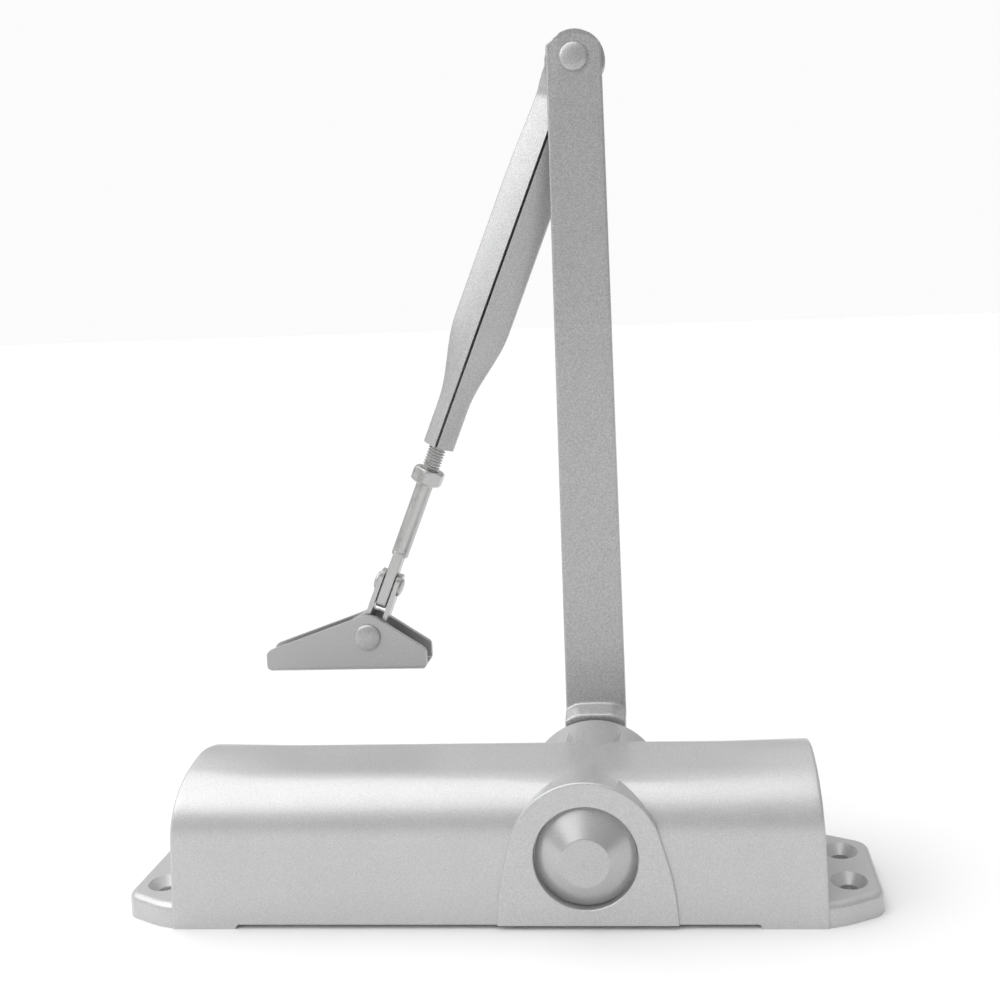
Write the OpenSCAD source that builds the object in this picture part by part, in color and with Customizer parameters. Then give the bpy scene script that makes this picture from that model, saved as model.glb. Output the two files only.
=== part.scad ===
// Surface-mounted rack-and-pinion door closer with a scissor arm.
// Frame: X runs along the body, Y along the pinion (the arm is on the +Y side), Z away from the
// mounting face. The origin is the centre of the four fixing holes, on the mounting face.

/* [Body] */
// Distance from an end of the body to the middle of its fixing holes
hole_offset = 7; // [6.5:0.1:12]
// Distance between the two holes of a pair
fixing_pitch_y = 19; // [16:0.5:24]
// Diameter of a fixing hole
fixing_hole_d = 5.6; // [4.5:0.1:7]
// Diameter of the countersink at the top of a fixing hole
countersink_d = 11; // [9:0.1:13]
// Distance from a fixing hole to the end of its lug
lug_margin = 9.5; // [8:0.5:14]
// Thickness of the fixing lugs
lug_h = 7; // [6:0.1:7.2]
// Length of the body at the mounting face
body_l = 193; // [186:1:200]
// Thickness of the casting under the oil cylinder
floor_wall = 7.2; // [7.2:0.1:10]
// Thickness of the casting in front of and behind the oil cylinder
side_wall = 10; // [9.8:0.1:14]
// Thickness of the casting over the oil cylinder
top_wall = 6.4; // [5:0.1:10]
// Radius of the body's two upper corners
shoulder_r = 15; // [8:0.5:18]
// How much the body's ends stand higher than its middle
end_flare = 2.2; // [0.5:0.1:3]
// Length over which an end rises
flare_l = 15; // [8:1:24]
// Inward lean of the end faces, in degrees
end_draft = 2.3; // [0:0.1:3]
// Height of the seating pads at the two ends
pad_h = 1.4; // [0.5:0.1:2]
// Length of a seating pad, along the body
pad_l = 19; // [12:0.5:30]

/* [Cylinder] */
// Diameter of the oil cylinder
bore_d = 28; // [26:0.1:28.4]
// Length of the end plugs
plug_l = 12; // [10:0.5:16]
// Section diameter of the plug sealing rings
plug_ring_d = 2; // [1.5:0.1:2.5]
// Thickness of the casting between a regulating valve and the side
valve_wall = 2.9; // [2:0.1:3.2]
// Height of the regulating valves above the mounting face
valve_z = 13; // [11:0.1:15]
// Diameter of a regulating valve
valve_d = 5; // [4:0.1:5.4]
// Length of a regulating valve
valve_l = 20; // [14:1:24]

/* [Spindle] */
// Distance of the pinion from the right end of the body
pinion_inset = 69.5; // [66:0.5:80]
// Teeth round the pinion
pinion_teeth = 12; // [10:1:13]
// Tooth module
tooth_module = 1.25; // [1:0.05:1.3]
// Width of the toothed part
gear_w = 18; // [10:0.5:20]
// Diameter of the spindle in its bearings
journal_d = 12; // [10:0.1:12.4]
// Side of the square that carries the arm
square_side = 9; // [7:0.1:9.5]
// Turn of the spindle from closed to fully open, in degrees
spindle_turn = 180; // [90:5:180]

/* [Spindle boss and cap] */
// Diameter of the round boss
boss_d = 45; // [42:0.5:50]
// How far the boss stands proud of the front of the body
boss_front = 0.8; // [0.4:0.1:4]
// How far the boss stands proud of the back of the body
boss_back = 2.3; // [2:0.1:6]
// Extra half width of the boss at its foot
apron_flare = 4; // [0:0.5:6]
// Height at which the boss has most of its spread
apron_h = 15; // [10:0.5:20]
// Diameter of the spindle cap
cap_d = 29.6; // [28:0.1:32]
// Diameter of the cap's flat middle
cap_flat_d = 14; // [10:0.5:18]
// Height of the cap's cone
cap_cone_h = 5.1; // [4.5:0.1:6]
// Height of the cap's straight rim
cap_rim_h = 0.7; // [0.5:0.1:1]
// Depth of the seat that holds the cap
cap_seat_depth = 3; // [2:0.1:3]
// Wall thickness of the cap
cap_wall = 1; // [0.8:0.1:1.4]

/* [Bearings] */
// Thickness of the bearings and seals round the spindle
bearing_wall = 5; // [3:0.1:5.5]
// Length of a bearing
bearing_l = 4.2; // [3:0.1:4.4]
// Thickness of a lip seal
seal_t = 1.6; // [1:0.1:1.8]
// Thickness of a retaining ring
retainer_t = 1.4; // [1:0.1:1.6]

/* [Piston and spring] */
// Length of the piston's spring-side head
piston_head_l = 14; // [10:1:20]
// Length of the piston's valve-side head
valve_head_l = 13; // [12:0.5:16]
// Wire diameter of the closing spring
wire_d = 4; // [3:0.1:4.4]
// Gap all round between the closing spring and the cylinder
spring_play = 1.2; // [0.8:0.1:2.5]
// Distance from one turn of the closing spring to the next
spring_pitch = 9.75; // [8:0.05:13]
// Thickness of the spring seat
seat_t = 2.5; // [2:0.1:4]
// Diameter of the power-adjusting screw
power_screw_d = 8; // [6:0.5:10]
// Diameter of the check-valve ball
ball_d = 5.2; // [4:0.1:6]

/* [Main arm] */
// Length of the main arm, spindle to elbow
arm_l = 238; // [180:1:260]
// Width of the main arm at the bend
arm_w_root = 20; // [16:0.5:24]
// Width of the main arm at the elbow
arm_w_tip = 17.8; // [14:0.1:20]
// Thickness of the main arm
arm_t = 4.2; // [3:0.1:5]
// Sideways step of the main arm
arm_step = 5.4; // [5:0.1:8]
// Height of the bend above the spindle
arm_bend_up = 25; // [24:0.5:40]
// Radius of the hub round the spindle
hub_r = 13; // [10:0.5:16]
// Radius of the arm's rounded tip
tip_r = 12; // [10:0.5:16]
// Gap between the back of the boss and the hub
hub_gap = 1.7; // [1:0.1:4]

/* [Forearm] */
// Lean of the forearm from upright, in degrees
forearm_lean = 22.2; // [0:0.5:60]
// Length of the forearm from the elbow to its open end
forearm_l = 136; // [120:1:160]
// Width of the folded part
forearm_w = 19.4; // [16:0.1:22]
// Thickness of the open end, to the left and right of the rod's thread
neck_wall = 2.3; // [2:0.1:3.2]
// Thickness of the folded part, in front of and behind the rod's thread
fold_wall = 2.4; // [2.2:0.1:3.2]
// Where the folded part starts to narrow, from the elbow
taper_start = 94; // [80:1:96]
// Where the neck begins, from the elbow
neck_start = 121; // [115:1:126]
// Thickness of the flattened eye
eye_t = 3.8; // [3:0.1:4.5]
// Radius of the eye
eye_r = 9.9; // [8:0.1:11]
// Wall thickness of the folded sheet
sheet_t = 1.6; // [1.2:0.1:2]
// Width of the open seam
seam_w = 0.6; // [0.3:0.1:1]
// Diameter of the elbow rivet
elbow_rivet_d = 6; // [4:0.1:7]
// Diameter of the elbow rivet's head
elbow_head_d = 9.2; // [8:0.1:11]
// Thickness of the washer in the elbow
elbow_washer_t = 0.5; // [0.3:0.1:1]

/* [Adjusting rod] */
// Thread diameter of the rod
rod_thread_d = 6; // [5:0.1:6.4]
// Diameter of the plain part of the rod
rod_d = 5.8; // [4.8:0.1:5.8]
// Distance from the elbow to the rod's cross rivet
pin_reach = 187; // [185:1:215]
// Length of thread inside the forearm
thread_inside = 38; // [20:1:60]
// Length of thread showing between the forearm and the nut
thread_showing = 8.5; // [8:0.5:12]
// How far the rod can be screwed in from its middle setting
adjust_in = 8; // [4:0.5:12]
// Thickness of the lock nut, from its thread to a flat
nut_wall = 2; // [1.6:0.1:3.4]
// Thickness of the lock nut
nut_h = 5; // [4:0.1:6]
// Thickness of the rod's flattened tongue
tongue_t = 3.6; // [3:0.1:4]
// Length of the tongue
tongue_l = 19; // [14:0.5:20]

/* [Link and shoe] */
// Distance between the link's cross rivet and the shoe rivet
link_l = 18.6; // [18:0.1:24]
// Thickness of the link's ears
ear_t = 1.7; // [1.4:0.1:2]
// Diameter of the link's cross rivet
cross_rivet_d = 3.6; // [3:0.1:4]
// Diameter of the shoe rivet
shoe_rivet_d = 4.6; // [4:0.1:5]
// Diameter of the shoe rivet's head
shoe_head_d = 9; // [7:0.1:10]
// Length of the shoe
shoe_l = 55.5; // [54:0.5:70]
// Height of the shoe above its base, to its peak
shoe_h = 19; // [18:0.5:24]
// Height of the shoe's two ends
shoe_end_h = 7; // [6:0.5:10]
// Distance of the shoe rivet from the shoe's middle
shoe_rivet_x = 7.8; // [0:0.1:8]
// Height of the shoe rivet above the base
shoe_rivet_h = 11.5; // [11:0.1:13]
// Thickness of the shoe's plate
shoe_t = 1.8; // [1.5:0.1:2.2]
// Clear width of the shoe's channel
channel_w = 7.2; // [6.8:0.1:9]
// Distance between the shoe's two fixing holes
shoe_pitch = 40; // [36:0.5:44]
// Diameter of a fixing hole of the shoe
shoe_hole_d = 4; // [3:0.1:4.5]

/* [Clearances] */
// Gap all round between a turning shaft and its bore
running_gap = 0.06; // [0.03:0.01:0.1]
// Gap all round between fixed pieces
fitting_gap = 0.03; // [0.02:0.01:0.05]
// Gap all round between the piston and its cylinder
piston_gap = 0.1; // [0.05:0.01:0.1]
// Backlash between the rack and the pinion
backlash = 0.16; // [0.1:0.01:0.3]
// Gap between flat faces that slide on each other
side_gap = 0.3; // [0.1:0.05:0.4]

/* [Hidden] */
$fn = 96;

cut = 1;                                        // how far a cutting shape runs past a face
body_half = body_l / 2;
bore_r = bore_d / 2;
side_y = bore_r + side_wall;
body_w = 2 * side_y;
body_h = floor_wall + bore_d + top_wall;
pinion_x = body_half - pinion_inset;
pinion_z = floor_wall + bore_r;                 // height of the pinion and of the oil cylinder
shoulder_steps = 12;
flare_steps = 5;
front_y = -side_y - boss_front;
back_y = side_y + boss_back;
hole_x = body_half + hole_offset;
hole_y = fixing_pitch_y / 2;
lug_corner_r = 5.6;
lug_corner_y = hole_y + 3;

relief_l = body_l - 2 * pad_l;                  // length of the relieved underside
plug_r = bore_r - fitting_gap;
plug_face = body_half - 2.2;                    // outer face of a plug, from the middle
plug_inner = plug_face - plug_l;
ring_x = plug_face - plug_l / 2;
ring_r = plug_ring_d / 2;
ring_groove_r = plug_r - plug_ring_d;           // floor of a plug's ring groove
valve_r = valve_d / 2;
valve_y = side_y - valve_wall - valve_r;
valve_face = body_half - 2.4;
valve_chamber_l = 6;                            // room for oil behind a valve
valve_ring_d = 1;
valve_ring_in = 12;                             // from a valve's outer face to its ring
valve_slot_w = 1;
valve_slot_depth = 1.2;
socket_depth = 3;
plug_socket_r = 6;
power_socket_r = 2.3;
power_screw_in = 0.5;                           // from the plug's face to the screw's

pitch_r = pinion_teeth * tooth_module / 2;
neck_gap = 0.25;                                // spindle neck below the roots of the teeth
pressure = 25;
addendum = 0.8 * tooth_module;
dedendum = tooth_module;
tip_round_r = pitch_r + addendum;
root_r = pitch_r - dedendum;
base_r = pitch_r * cos(pressure);
rack_pitch = PI * tooth_module;
journal_r = journal_d / 2;
travel = pitch_r * spindle_turn * PI / 180;     // piston stroke

slot_clear = 1.5;
slot_left = pinion_x - tip_round_r - slot_clear;
slot_right = pinion_x + tip_round_r + travel + slot_clear;
slot_low = tip_round_r + 0.8;                   // below the pinion's centre
slot_high = pitch_r + dedendum;                 // above it, at the roots of the rack
piston_r = bore_r - piston_gap;
piston_left = slot_left - piston_head_l;
piston_right = slot_right + valve_head_l;
ball_r = ball_d / 2;
port_r = 1.2;
ball_cage_r = ball_r + 0.4;
ball_travel = 0.6;
ball_seat_x = slot_right + 5.5;
ball_x = ball_seat_x + sqrt(ball_r * ball_r - port_r * port_r) + 0.05;
ball_retainer_x = ball_x + ball_r + ball_travel + 0.1;

seat_gap = 0.5;
seat_x = -plug_inner + seat_gap;                // outer face of the spring seat
spring_left = seat_x + seat_t;
spring_r = bore_r - spring_play;
coil_r = spring_r - wire_d / 2;
spring_span = piston_left - side_gap - spring_left - wire_d;
spring_turns = round(spring_span / spring_pitch);
power_r = power_screw_d / 2;

boss_r = boss_d / 2;
cap_r = cap_d / 2;
cap_floor_y = front_y + cap_seat_depth;
cap_seat_r = cap_r + 0.6;
cap_front_y = cap_floor_y - cap_rim_h - cap_cone_h;
bearing_r = journal_r + bearing_wall;
bearing_in = bore_r + 0.2;                      // inner end of both bearings, from the middle
seal_in = bearing_in + bearing_l + 0.1;
retainer_in = seal_in + seal_t + 0.1;

hub_y = back_y + hub_gap;                       // front face of the arm's hub
arm_y = hub_y + arm_step;                       // front face of the arm above the bend
arm_back = arm_y + arm_t;
square_hole = square_side + 2 * fitting_gap;
hub_back = hub_y + arm_t;
elbow_z = pinion_z + arm_l;
washer_t = 1.4;
arm_screw_r = 2.5;
arm_screw_l = 12;
arm_screw_head_r = 5;
arm_screw_head_h = 5;
tip_beyond = 8.2;                               // from the elbow rivet to the arm's tip

eye_y = arm_back + elbow_washer_t;              // front face of the forearm's eye
forearm_depth = rod_thread_d + 2 * fold_wall;
neck_w = rod_thread_d + 2 * neck_wall;
fold_y = eye_y + side_gap + forearm_depth / 2;  // middle of the folded part, rod, link and shoe
rivet_r = elbow_rivet_d / 2;
rivet_head_h = 1.6;
rear_head_h = 1.4;

thread_r = rod_thread_d / 2;
rod_r = rod_d / 2;
thread_top = forearm_l - thread_inside;
nut_top = forearm_l + thread_showing;
nut_bottom = nut_top + nut_h;
nut_flats = rod_thread_d + 2 * nut_wall;
rod_room = thread_inside + adjust_in;           // depth of the forearm's bore
tongue_beyond = 8.4;                            // from the cross rivet to the tongue's end
tongue_end = pin_reach + tongue_beyond;
tongue_top = tongue_end - tongue_l;
cross_r = cross_rivet_d / 2;
cross_head_r = 3.1;
cross_head_h = 1.3;

ear_in = tongue_t / 2 + side_gap;               // inner face of a link ear
ear_out = ear_in + ear_t;
bridge_gap = 2.6;                               // from the tongue to the link's bridge
bridge_top = tongue_end + bridge_gap;
bridge_t = 2.2;
foot_t = channel_w - 2 * side_gap;              // width of what swings between the shoe's sides
tongue_w = foot_t;
ear_w = foot_t;
shoe_reach = pin_reach + link_l;
foot_r = 5.6;

shoe_pin_x = -shoe_reach * sin(forearm_lean) + pinion_x;
shoe_pin_z = elbow_z - shoe_reach * cos(forearm_lean);
shoe_x = shoe_pin_x - shoe_rivet_x;
shoe_z = shoe_pin_z - shoe_rivet_h;             // underside of the shoe
shoe_front = fold_y - channel_w / 2 - shoe_t;
shoe_back = fold_y + channel_w / 2 + shoe_t;
shoe_pin_r = shoe_rivet_d / 2;
shoe_peak_r = 6;

// ---- helpers ----

// A rod along +X from x0 to x1
module rod_x(x0, x1, r) {
    translate([x0, 0, 0]) rotate([0, 90, 0]) cylinder(h = x1 - x0, r = r);
}

// A rod along +Y from y0 to y1
module rod_y(y0, y1, r) {
    translate([0, y0, 0]) rotate([-90, 0, 0]) cylinder(h = y1 - y0, r = r);
}

// A flat shape drawn in X and Z, as thick as y0 to y1
module plate_xz(y0, y1) {
    translate([0, y1, 0]) rotate([90, 0, 0]) linear_extrude(y1 - y0) children();
}

// A section drawn in Y and Z, as long as x0 to x1
module bar_yz(x0, x1) {
    translate([x0, 0, 0]) rotate([90, 0, 90]) linear_extrude(x1 - x0) children();
}

module at_pinion() {
    translate([pinion_x, 0, pinion_z]) children();
}

// The middle line of the oil cylinder
module at_bore() {
    translate([0, 0, pinion_z]) children();
}

// The forearm's own frame: the elbow at the top, the arm hanging down -Z
module on_forearm() {
    translate([pinion_x, 0, elbow_z]) rotate([0, forearm_lean, 0]) children();
}

// A low rivet head on a face at height 0, pointing up
module rivet_head(r, h) {
    dome_r = (r * r + h * h) / (2 * h);
    intersection() {
        translate([0, 0, h - dome_r]) sphere(r = dome_r);
        translate([-r - cut, -r - cut, 0]) cube([2 * (r + cut), 2 * (r + cut), h + cut]);
    }
}

// A washer or bush along Y
module ring_y(y0, y1, r_out, r_in) {
    difference() {
        rod_y(y0, y1, r_out);
        rod_y(y0 - cut, y1 + cut, r_in);
    }
}

// A sealing ring of round section round the X axis
module seal_ring_x(x, r_mid, r_section) {
    translate([x, 0, 0]) rotate([0, 90, 0]) rotate_extrude()
        translate([r_mid, 0]) circle(r = r_section, $fn = 24);
}

// A groove round the X axis at x, for a sealing ring: half its width, the shaft's radius and its floor's
module ring_groove(x, half_w, r_out, r_floor) {
    difference() {
        rod_x(x - half_w, x + half_w, r_out + cut);
        rod_x(x - half_w - cut, x + half_w + cut, r_floor);
    }
}

// A hexagon socket along +X, from x0 to x1
module hex_socket(x0, x1, r) {
    translate([x0, 0, 0]) rotate([0, 90, 0]) cylinder(h = x1 - x0, r = r, $fn = 6);
}

// ---- housing ----

// Outline of the body's section, with its top raised by lift
function section_points(lift) = let (top = body_h + lift - shoulder_r, in = side_y - shoulder_r) concat(
    [[-side_y, 0], [side_y, 0]],
    [for (s = [1, -1], k = [0:shoulder_steps]) let (a = 90 * (k / shoulder_steps + (s > 0 ? 0 : 1)))
        [s * in + shoulder_r * cos(a), top + shoulder_r * sin(a)]]);

// Rise of the top, from 0 where the flare starts to end_flare at the end
function flare_lift(t) = end_flare * (1 - cos(180 * t)) / 2;

// The arched body, lofted through its sections from end to end
module arched_body() {
    start = body_half - flare_l;
    rises = [for (k = [0:flare_steps]) k / flare_steps];
    stations = concat([for (k = [flare_steps:-1:0]) [-start - flare_l * rises[k], rises[k]]],
        [for (k = [0:flare_steps]) [start + flare_l * rises[k], rises[k]]]);
    per = len(section_points(0));
    last = len(stations) - 1;
    points = [for (s = stations, q = section_points(flare_lift(s[1]))) [s[0], q[0], q[1]]];
    faces = concat([[for (k = [0:per - 1]) k]], [[for (k = [per - 1:-1:0]) last * per + k]],
        [for (i = [0:last - 1], k = [0:per - 1]) let (n = (k + 1) % per)
            [i * per + k, (i + 1) * per + k, (i + 1) * per + n, i * per + n]]);
    polyhedron(points, faces);
}

// Side view of the body with its leaning ends
module end_draft_outline() {
    top = body_h + end_flare + cut;
    foot_x = body_half + cut * tan(end_draft);
    top_x = body_half - top * tan(end_draft);
    polygon([[-foot_x, -cut], [foot_x, -cut], [top_x, top], [-top_x, top]]);
}

module lug_plate() {
    corner_x = hole_x + lug_margin - lug_corner_r;
    linear_extrude(lug_h) hull() {
        for (x = [-1, 1], y = [-1, 1])
            translate([x * corner_x, y * lug_corner_y]) circle(r = lug_corner_r, $fn = 48);
        square([body_l - 3, body_w - 0.4], center = true);
    }
}

module fixing_hole() {
    sink_h = (countersink_d - fixing_hole_d) / 2;
    translate([0, 0, -cut]) cylinder(h = lug_h + 2 * cut, d = fixing_hole_d);
    translate([0, 0, lug_h - sink_h]) cylinder(h = sink_h, d1 = fixing_hole_d, d2 = countersink_d);
    translate([0, 0, lug_h]) cylinder(h = cut, d = countersink_d);
}

// Boss round the spindle: round above, with flanks that spread to its foot
module boss() {
    shoulder = boss_r - 0.5;                    // the flanks' top corners lie inside the round part
    foot = boss_r + apron_flare;
    knee = boss_r + apron_flare * 0.65;
    translate([pinion_x, 0, 0]) plate_xz(front_y, back_y) union() {
        translate([0, pinion_z]) intersection() {
            circle(r = boss_r);
            translate([-boss_r, -pinion_z]) square([2 * boss_r, pinion_z + boss_r]);
        }
        polygon([[-foot, 0], [foot, 0], [knee, apron_h],
            [shoulder * cos(12), pinion_z + shoulder * sin(12)],
            [-shoulder * cos(12), pinion_z + shoulder * sin(12)], [-knee, apron_h]]);
    }
}

// Everything that is bored or drilled in the casting
module body_bores() {
    at_bore() rod_x(-body_half - cut, body_half + cut, bore_r);
    at_pinion() rod_y(front_y - cut, cap_floor_y, cap_seat_r);
    at_pinion() rod_y(cap_floor_y - cut, back_y + cut, bearing_r);
    for (s = [-1, 1]) translate([0, s * valve_y, valve_z]) {
        chamber = valve_face - valve_l - valve_chamber_l;
        rod_x(chamber, body_half + cut, valve_r + running_gap);
        translate([chamber + valve_chamber_l / 2, 0, 0])
            rod_y(s > 0 ? -valve_y / 2 : 0, s > 0 ? 0 : valve_y / 2, port_r);
    }
    for (x = [-1, 1], y = [-1, 1]) translate([x * hole_x, y * hole_y, 0]) fixing_hole();
    translate([-relief_l / 2, -side_y - 5, -cut]) cube([relief_l, body_w + 10, pad_h + cut]);
}

module body_housing() {
    color("silver") difference() {
        union() {
            intersection() {
                arched_body();
                plate_xz(-side_y - cut, side_y + cut) end_draft_outline();
            }
            lug_plate();
            boss();
        }
        body_bores();
    }
}

module left_end_plug() {
    color("darkgray") at_bore() difference() {
        rod_x(-plug_face, -plug_inner, plug_r);
        ring_groove(-ring_x, ring_r + 0.1, bore_r, ring_groove_r);
        rod_x(-plug_face - cut, -plug_inner + cut, power_r + running_gap);
    }
}

module left_plug_ring() {
    color("dimgray") at_bore() seal_ring_x(-ring_x, ring_groove_r + ring_r, ring_r - fitting_gap);
}

module right_end_plug() {
    color("darkgray") at_bore() difference() {
        rod_x(plug_inner, plug_face, plug_r);
        ring_groove(ring_x, ring_r + 0.1, bore_r, ring_groove_r);
        hex_socket(plug_face - socket_depth, plug_face + cut, plug_socket_r);
    }
}

module right_plug_ring() {
    color("dimgray") at_bore() seal_ring_x(ring_x, ring_groove_r + ring_r, ring_r - fitting_gap);
}

// s is -1 for the front and 1 for the back
module spindle_ring(s, inner, t, r_in) {
    at_pinion() ring_y(s > 0 ? inner : -inner - t, s > 0 ? inner + t : -inner, bearing_r - fitting_gap, r_in);
}

module front_bearing() {
    color("goldenrod") spindle_ring(-1, bearing_in, bearing_l, journal_r + running_gap);
}

module rear_bearing() {
    color("goldenrod") spindle_ring(1, bearing_in, bearing_l, journal_r + running_gap);
}

module front_seal() {
    color("dimgray") spindle_ring(-1, seal_in, seal_t, journal_r + running_gap);
}

module rear_seal() {
    color("dimgray") spindle_ring(1, seal_in, seal_t, journal_r + running_gap);
}

module front_retainer() {
    color("gray") spindle_ring(-1, retainer_in, retainer_t, journal_r + 0.8);
}

module rear_retainer() {
    color("gray") spindle_ring(1, retainer_in, retainer_t, journal_r + 0.8);
}

// Pressed cover over the unused end of the spindle
module spindle_cap() {
    flat_r = cap_flat_d / 2;
    top = cap_rim_h + cap_cone_h;
    color("silver") translate([pinion_x, cap_floor_y, pinion_z]) rotate([90, 0, 0]) rotate_extrude() polygon([
        [cap_r - cap_wall, 0], [cap_r, 0], [cap_r, cap_rim_h], [flat_r, top], [0, top], [0, top - cap_wall],
        [flat_r - cap_wall / 2, top - cap_wall], [cap_r - cap_wall, cap_rim_h - cap_wall / 2]]);
}

// ---- spring ----

// A wire of round section wound round the X axis
module closing_spring() {
    sides = 8;
    steps = spring_turns * 20;
    wire_r = wire_d / 2 - fitting_gap;
    points = [for (i = [0:steps], k = [0:sides - 1])
        let (a = 360 * spring_turns * i / steps, b = 360 * k / sides, r = coil_r + wire_r * cos(b))
        [spring_left + wire_d / 2 + spring_span * i / steps + wire_r * sin(b), r * cos(a), r * sin(a)]];
    faces = concat(
        [[for (k = [0:sides - 1]) k]],
        [for (i = [0:steps - 1], k = [0:sides - 1]) let (n = (k + 1) % sides)
            [i * sides + k, (i + 1) * sides + k, (i + 1) * sides + n, i * sides + n]],
        [[for (k = [sides - 1:-1:0]) steps * sides + k]]);
    color("gray") at_bore() polyhedron(points, faces);
}

module spring_seat() {
    color("gray") at_bore() rod_x(seat_x, spring_left - side_gap / 2, spring_r);
}

module power_screw() {
    color("gray") at_bore() difference() {
        rod_x(-plug_face + power_screw_in, -plug_inner + seat_gap - side_gap / 2, power_r);
        hex_socket(-plug_face - cut, -plug_face + power_screw_in + socket_depth, power_socket_r);
    }
}

// ---- regulating valves ----

// s is -1 for the front and 1 for the back
module valve(s) {
    translate([0, s * valve_y, valve_z]) difference() {
        rod_x(valve_face - valve_l, valve_face, valve_r);
        translate([valve_face - valve_slot_depth, -valve_r - cut, -valve_slot_w / 2])
            cube([valve_slot_depth + cut, valve_d + 2 * cut, valve_slot_w]);
        ring_groove(valve_face - valve_ring_in, valve_ring_d / 2 + 0.1, valve_r, valve_r - valve_ring_d);
    }
}

module valve_ring(s) {
    translate([0, s * valve_y, valve_z])
        seal_ring_x(valve_face - valve_ring_in, valve_r - valve_ring_d / 2, valve_ring_d / 2 - fitting_gap);
}

module speed_valve() {
    color("goldenrod") valve(-1);
}

module speed_valve_ring() {
    color("dimgray") valve_ring(-1);
}

module latch_valve() {
    color("goldenrod") valve(1);
}

module latch_valve_ring() {
    color("dimgray") valve_ring(1);
}

// ---- piston ----

// One straight-sided rack tooth, pointing down, its pitch line at height 0
module rack_tooth() {
    half = (rack_pitch - backlash) / 4;
    root = half + dedendum * tan(pressure);
    tip = half - addendum * tan(pressure);
    polygon([[-root, dedendum + 0.1], [root, dedendum + 0.1], [tip, -addendum], [-tip, -addendum]]);
}

module piston_rack() {
    first = -floor((pinion_x - slot_left) / rack_pitch - 0.5);
    last = floor((slot_right - pinion_x) / rack_pitch - 0.5);
    color("gray") difference() {
        union() {
            difference() {
                at_bore() rod_x(piston_left, piston_right, piston_r);
                translate([slot_left, -bore_r, pinion_z - slot_low])
                    cube([slot_right - slot_left, bore_d, slot_low + slot_high]);
            }
            intersection() {
                at_bore() rod_x(piston_left, piston_right, piston_r);
                plate_xz(-bore_r, bore_r) for (k = [first:last])
                    translate([pinion_x + k * rack_pitch, pinion_z + pitch_r]) rack_tooth();
            }
        }
        at_bore() rod_x(slot_right - cut, piston_right + cut, port_r);
        at_bore() rod_x(ball_seat_x, piston_right + cut, ball_cage_r);
    }
}

module check_ball() {
    color("gray") at_bore() translate([ball_x, 0, 0]) sphere(r = ball_r);
}

module ball_retainer() {
    color("gray") at_bore() difference() {
        rod_x(ball_retainer_x, piston_right, ball_cage_r - fitting_gap);
        rod_x(ball_retainer_x - cut, piston_right + cut, port_r);
    }
}

// ---- spindle ----

// Angle swept by the involute from its base circle out to a radius, in degrees
function involute(r) = let (a = acos(min(1, base_r / r))) tan(a) * 180 / PI - a;

// Half the angle that a tooth takes at a radius, with a quarter of the backlash off each flank
function half_tooth(r) =
    90 / pinion_teeth - backlash / 4 / pitch_r * 180 / PI + involute(pitch_r) - involute(r);
function polar(r, a) = [r * cos(a), r * sin(a)];

module pinion_outline() {
    flank = [root_r, base_r, for (k = [1:5]) base_r + (tip_round_r - base_r) * k / 5];
    polygon([for (i = [0:pinion_teeth - 1], side = [-1, 1], k = [0:len(flank) - 1])
        let (r = side < 0 ? flank[k] : flank[len(flank) - 1 - k], mid = 90 + (i + 0.5) * 360 / pinion_teeth)
        polar(r, mid + side * half_tooth(r))]);
}

module square_end(y0, y1) {
    intersection() {
        translate([-square_side / 2, y0, -square_side / 2]) cube([square_side, y1 - y0, square_side]);
        rod_y(y0 - cut, y1 + cut, journal_r);
    }
}

module pinion_shaft() {
    front_end = cap_front_y + cap_wall + 1;
    color("gray") at_pinion() difference() {
        union() {
            plate_xz(-gear_w / 2, gear_w / 2) pinion_outline();
            rod_y(-bore_r, bore_r, root_r - neck_gap);
            rod_y(-retainer_in - retainer_t, -bore_r, journal_r);
            rod_y(bore_r, back_y + hub_gap / 2, journal_r);
            square_end(front_end, -retainer_in);
            square_end(back_y, hub_back - 0.2);
        }
        rod_y(hub_back - arm_screw_l, hub_back + cut, arm_screw_r + fitting_gap);
    }
}

// ---- main arm ----

// Front view of the arm above its hub
module arm_outline() {
    straight = arm_bend_up - 4;                 // the taper starts just below the bend
    tip_top = arm_l + tip_beyond;
    intersection() {
        polygon([[-arm_w_root / 2, -hub_r], [arm_w_root / 2, -hub_r], [arm_w_root / 2, straight],
            [arm_w_tip / 2, tip_top], [-arm_w_tip / 2, tip_top], [-arm_w_root / 2, straight]]);
        union() {
            translate([0, tip_top - tip_r]) circle(r = tip_r);
            translate([-arm_w_root, 0]) square([2 * arm_w_root, tip_top - tip_r]);
        }
    }
}

// Side view of the stepped arm, in Y and Z
module arm_side() {
    above = arm_l + hub_r;
    polygon([[hub_y, 0], [hub_y, arm_bend_up - 1.6], [arm_y, arm_bend_up + 0.6], [arm_y, above],
        [arm_back, above], [arm_back, arm_bend_up - 2.4], [hub_back, arm_bend_up - 7], [hub_back, 0]]);
}

module main_arm() {
    color("silver") at_pinion() difference() {
        union() {
            rod_y(hub_y, hub_back, hub_r);
            intersection() {
                plate_xz(hub_y - cut, arm_back + cut) arm_outline();
                bar_yz(-arm_w_root, arm_w_root) arm_side();
            }
        }
        translate([0, (hub_y + hub_back) / 2, 0])
            cube([square_hole, arm_t + 2 * cut, square_hole], center = true);
        translate([0, 0, arm_l]) rod_y(arm_y - cut, arm_back + cut, rivet_r + fitting_gap);
    }
}

module arm_washer() {
    color("gray") at_pinion() ring_y(hub_back, hub_back + washer_t, 8, arm_screw_r + fitting_gap);
}

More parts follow.
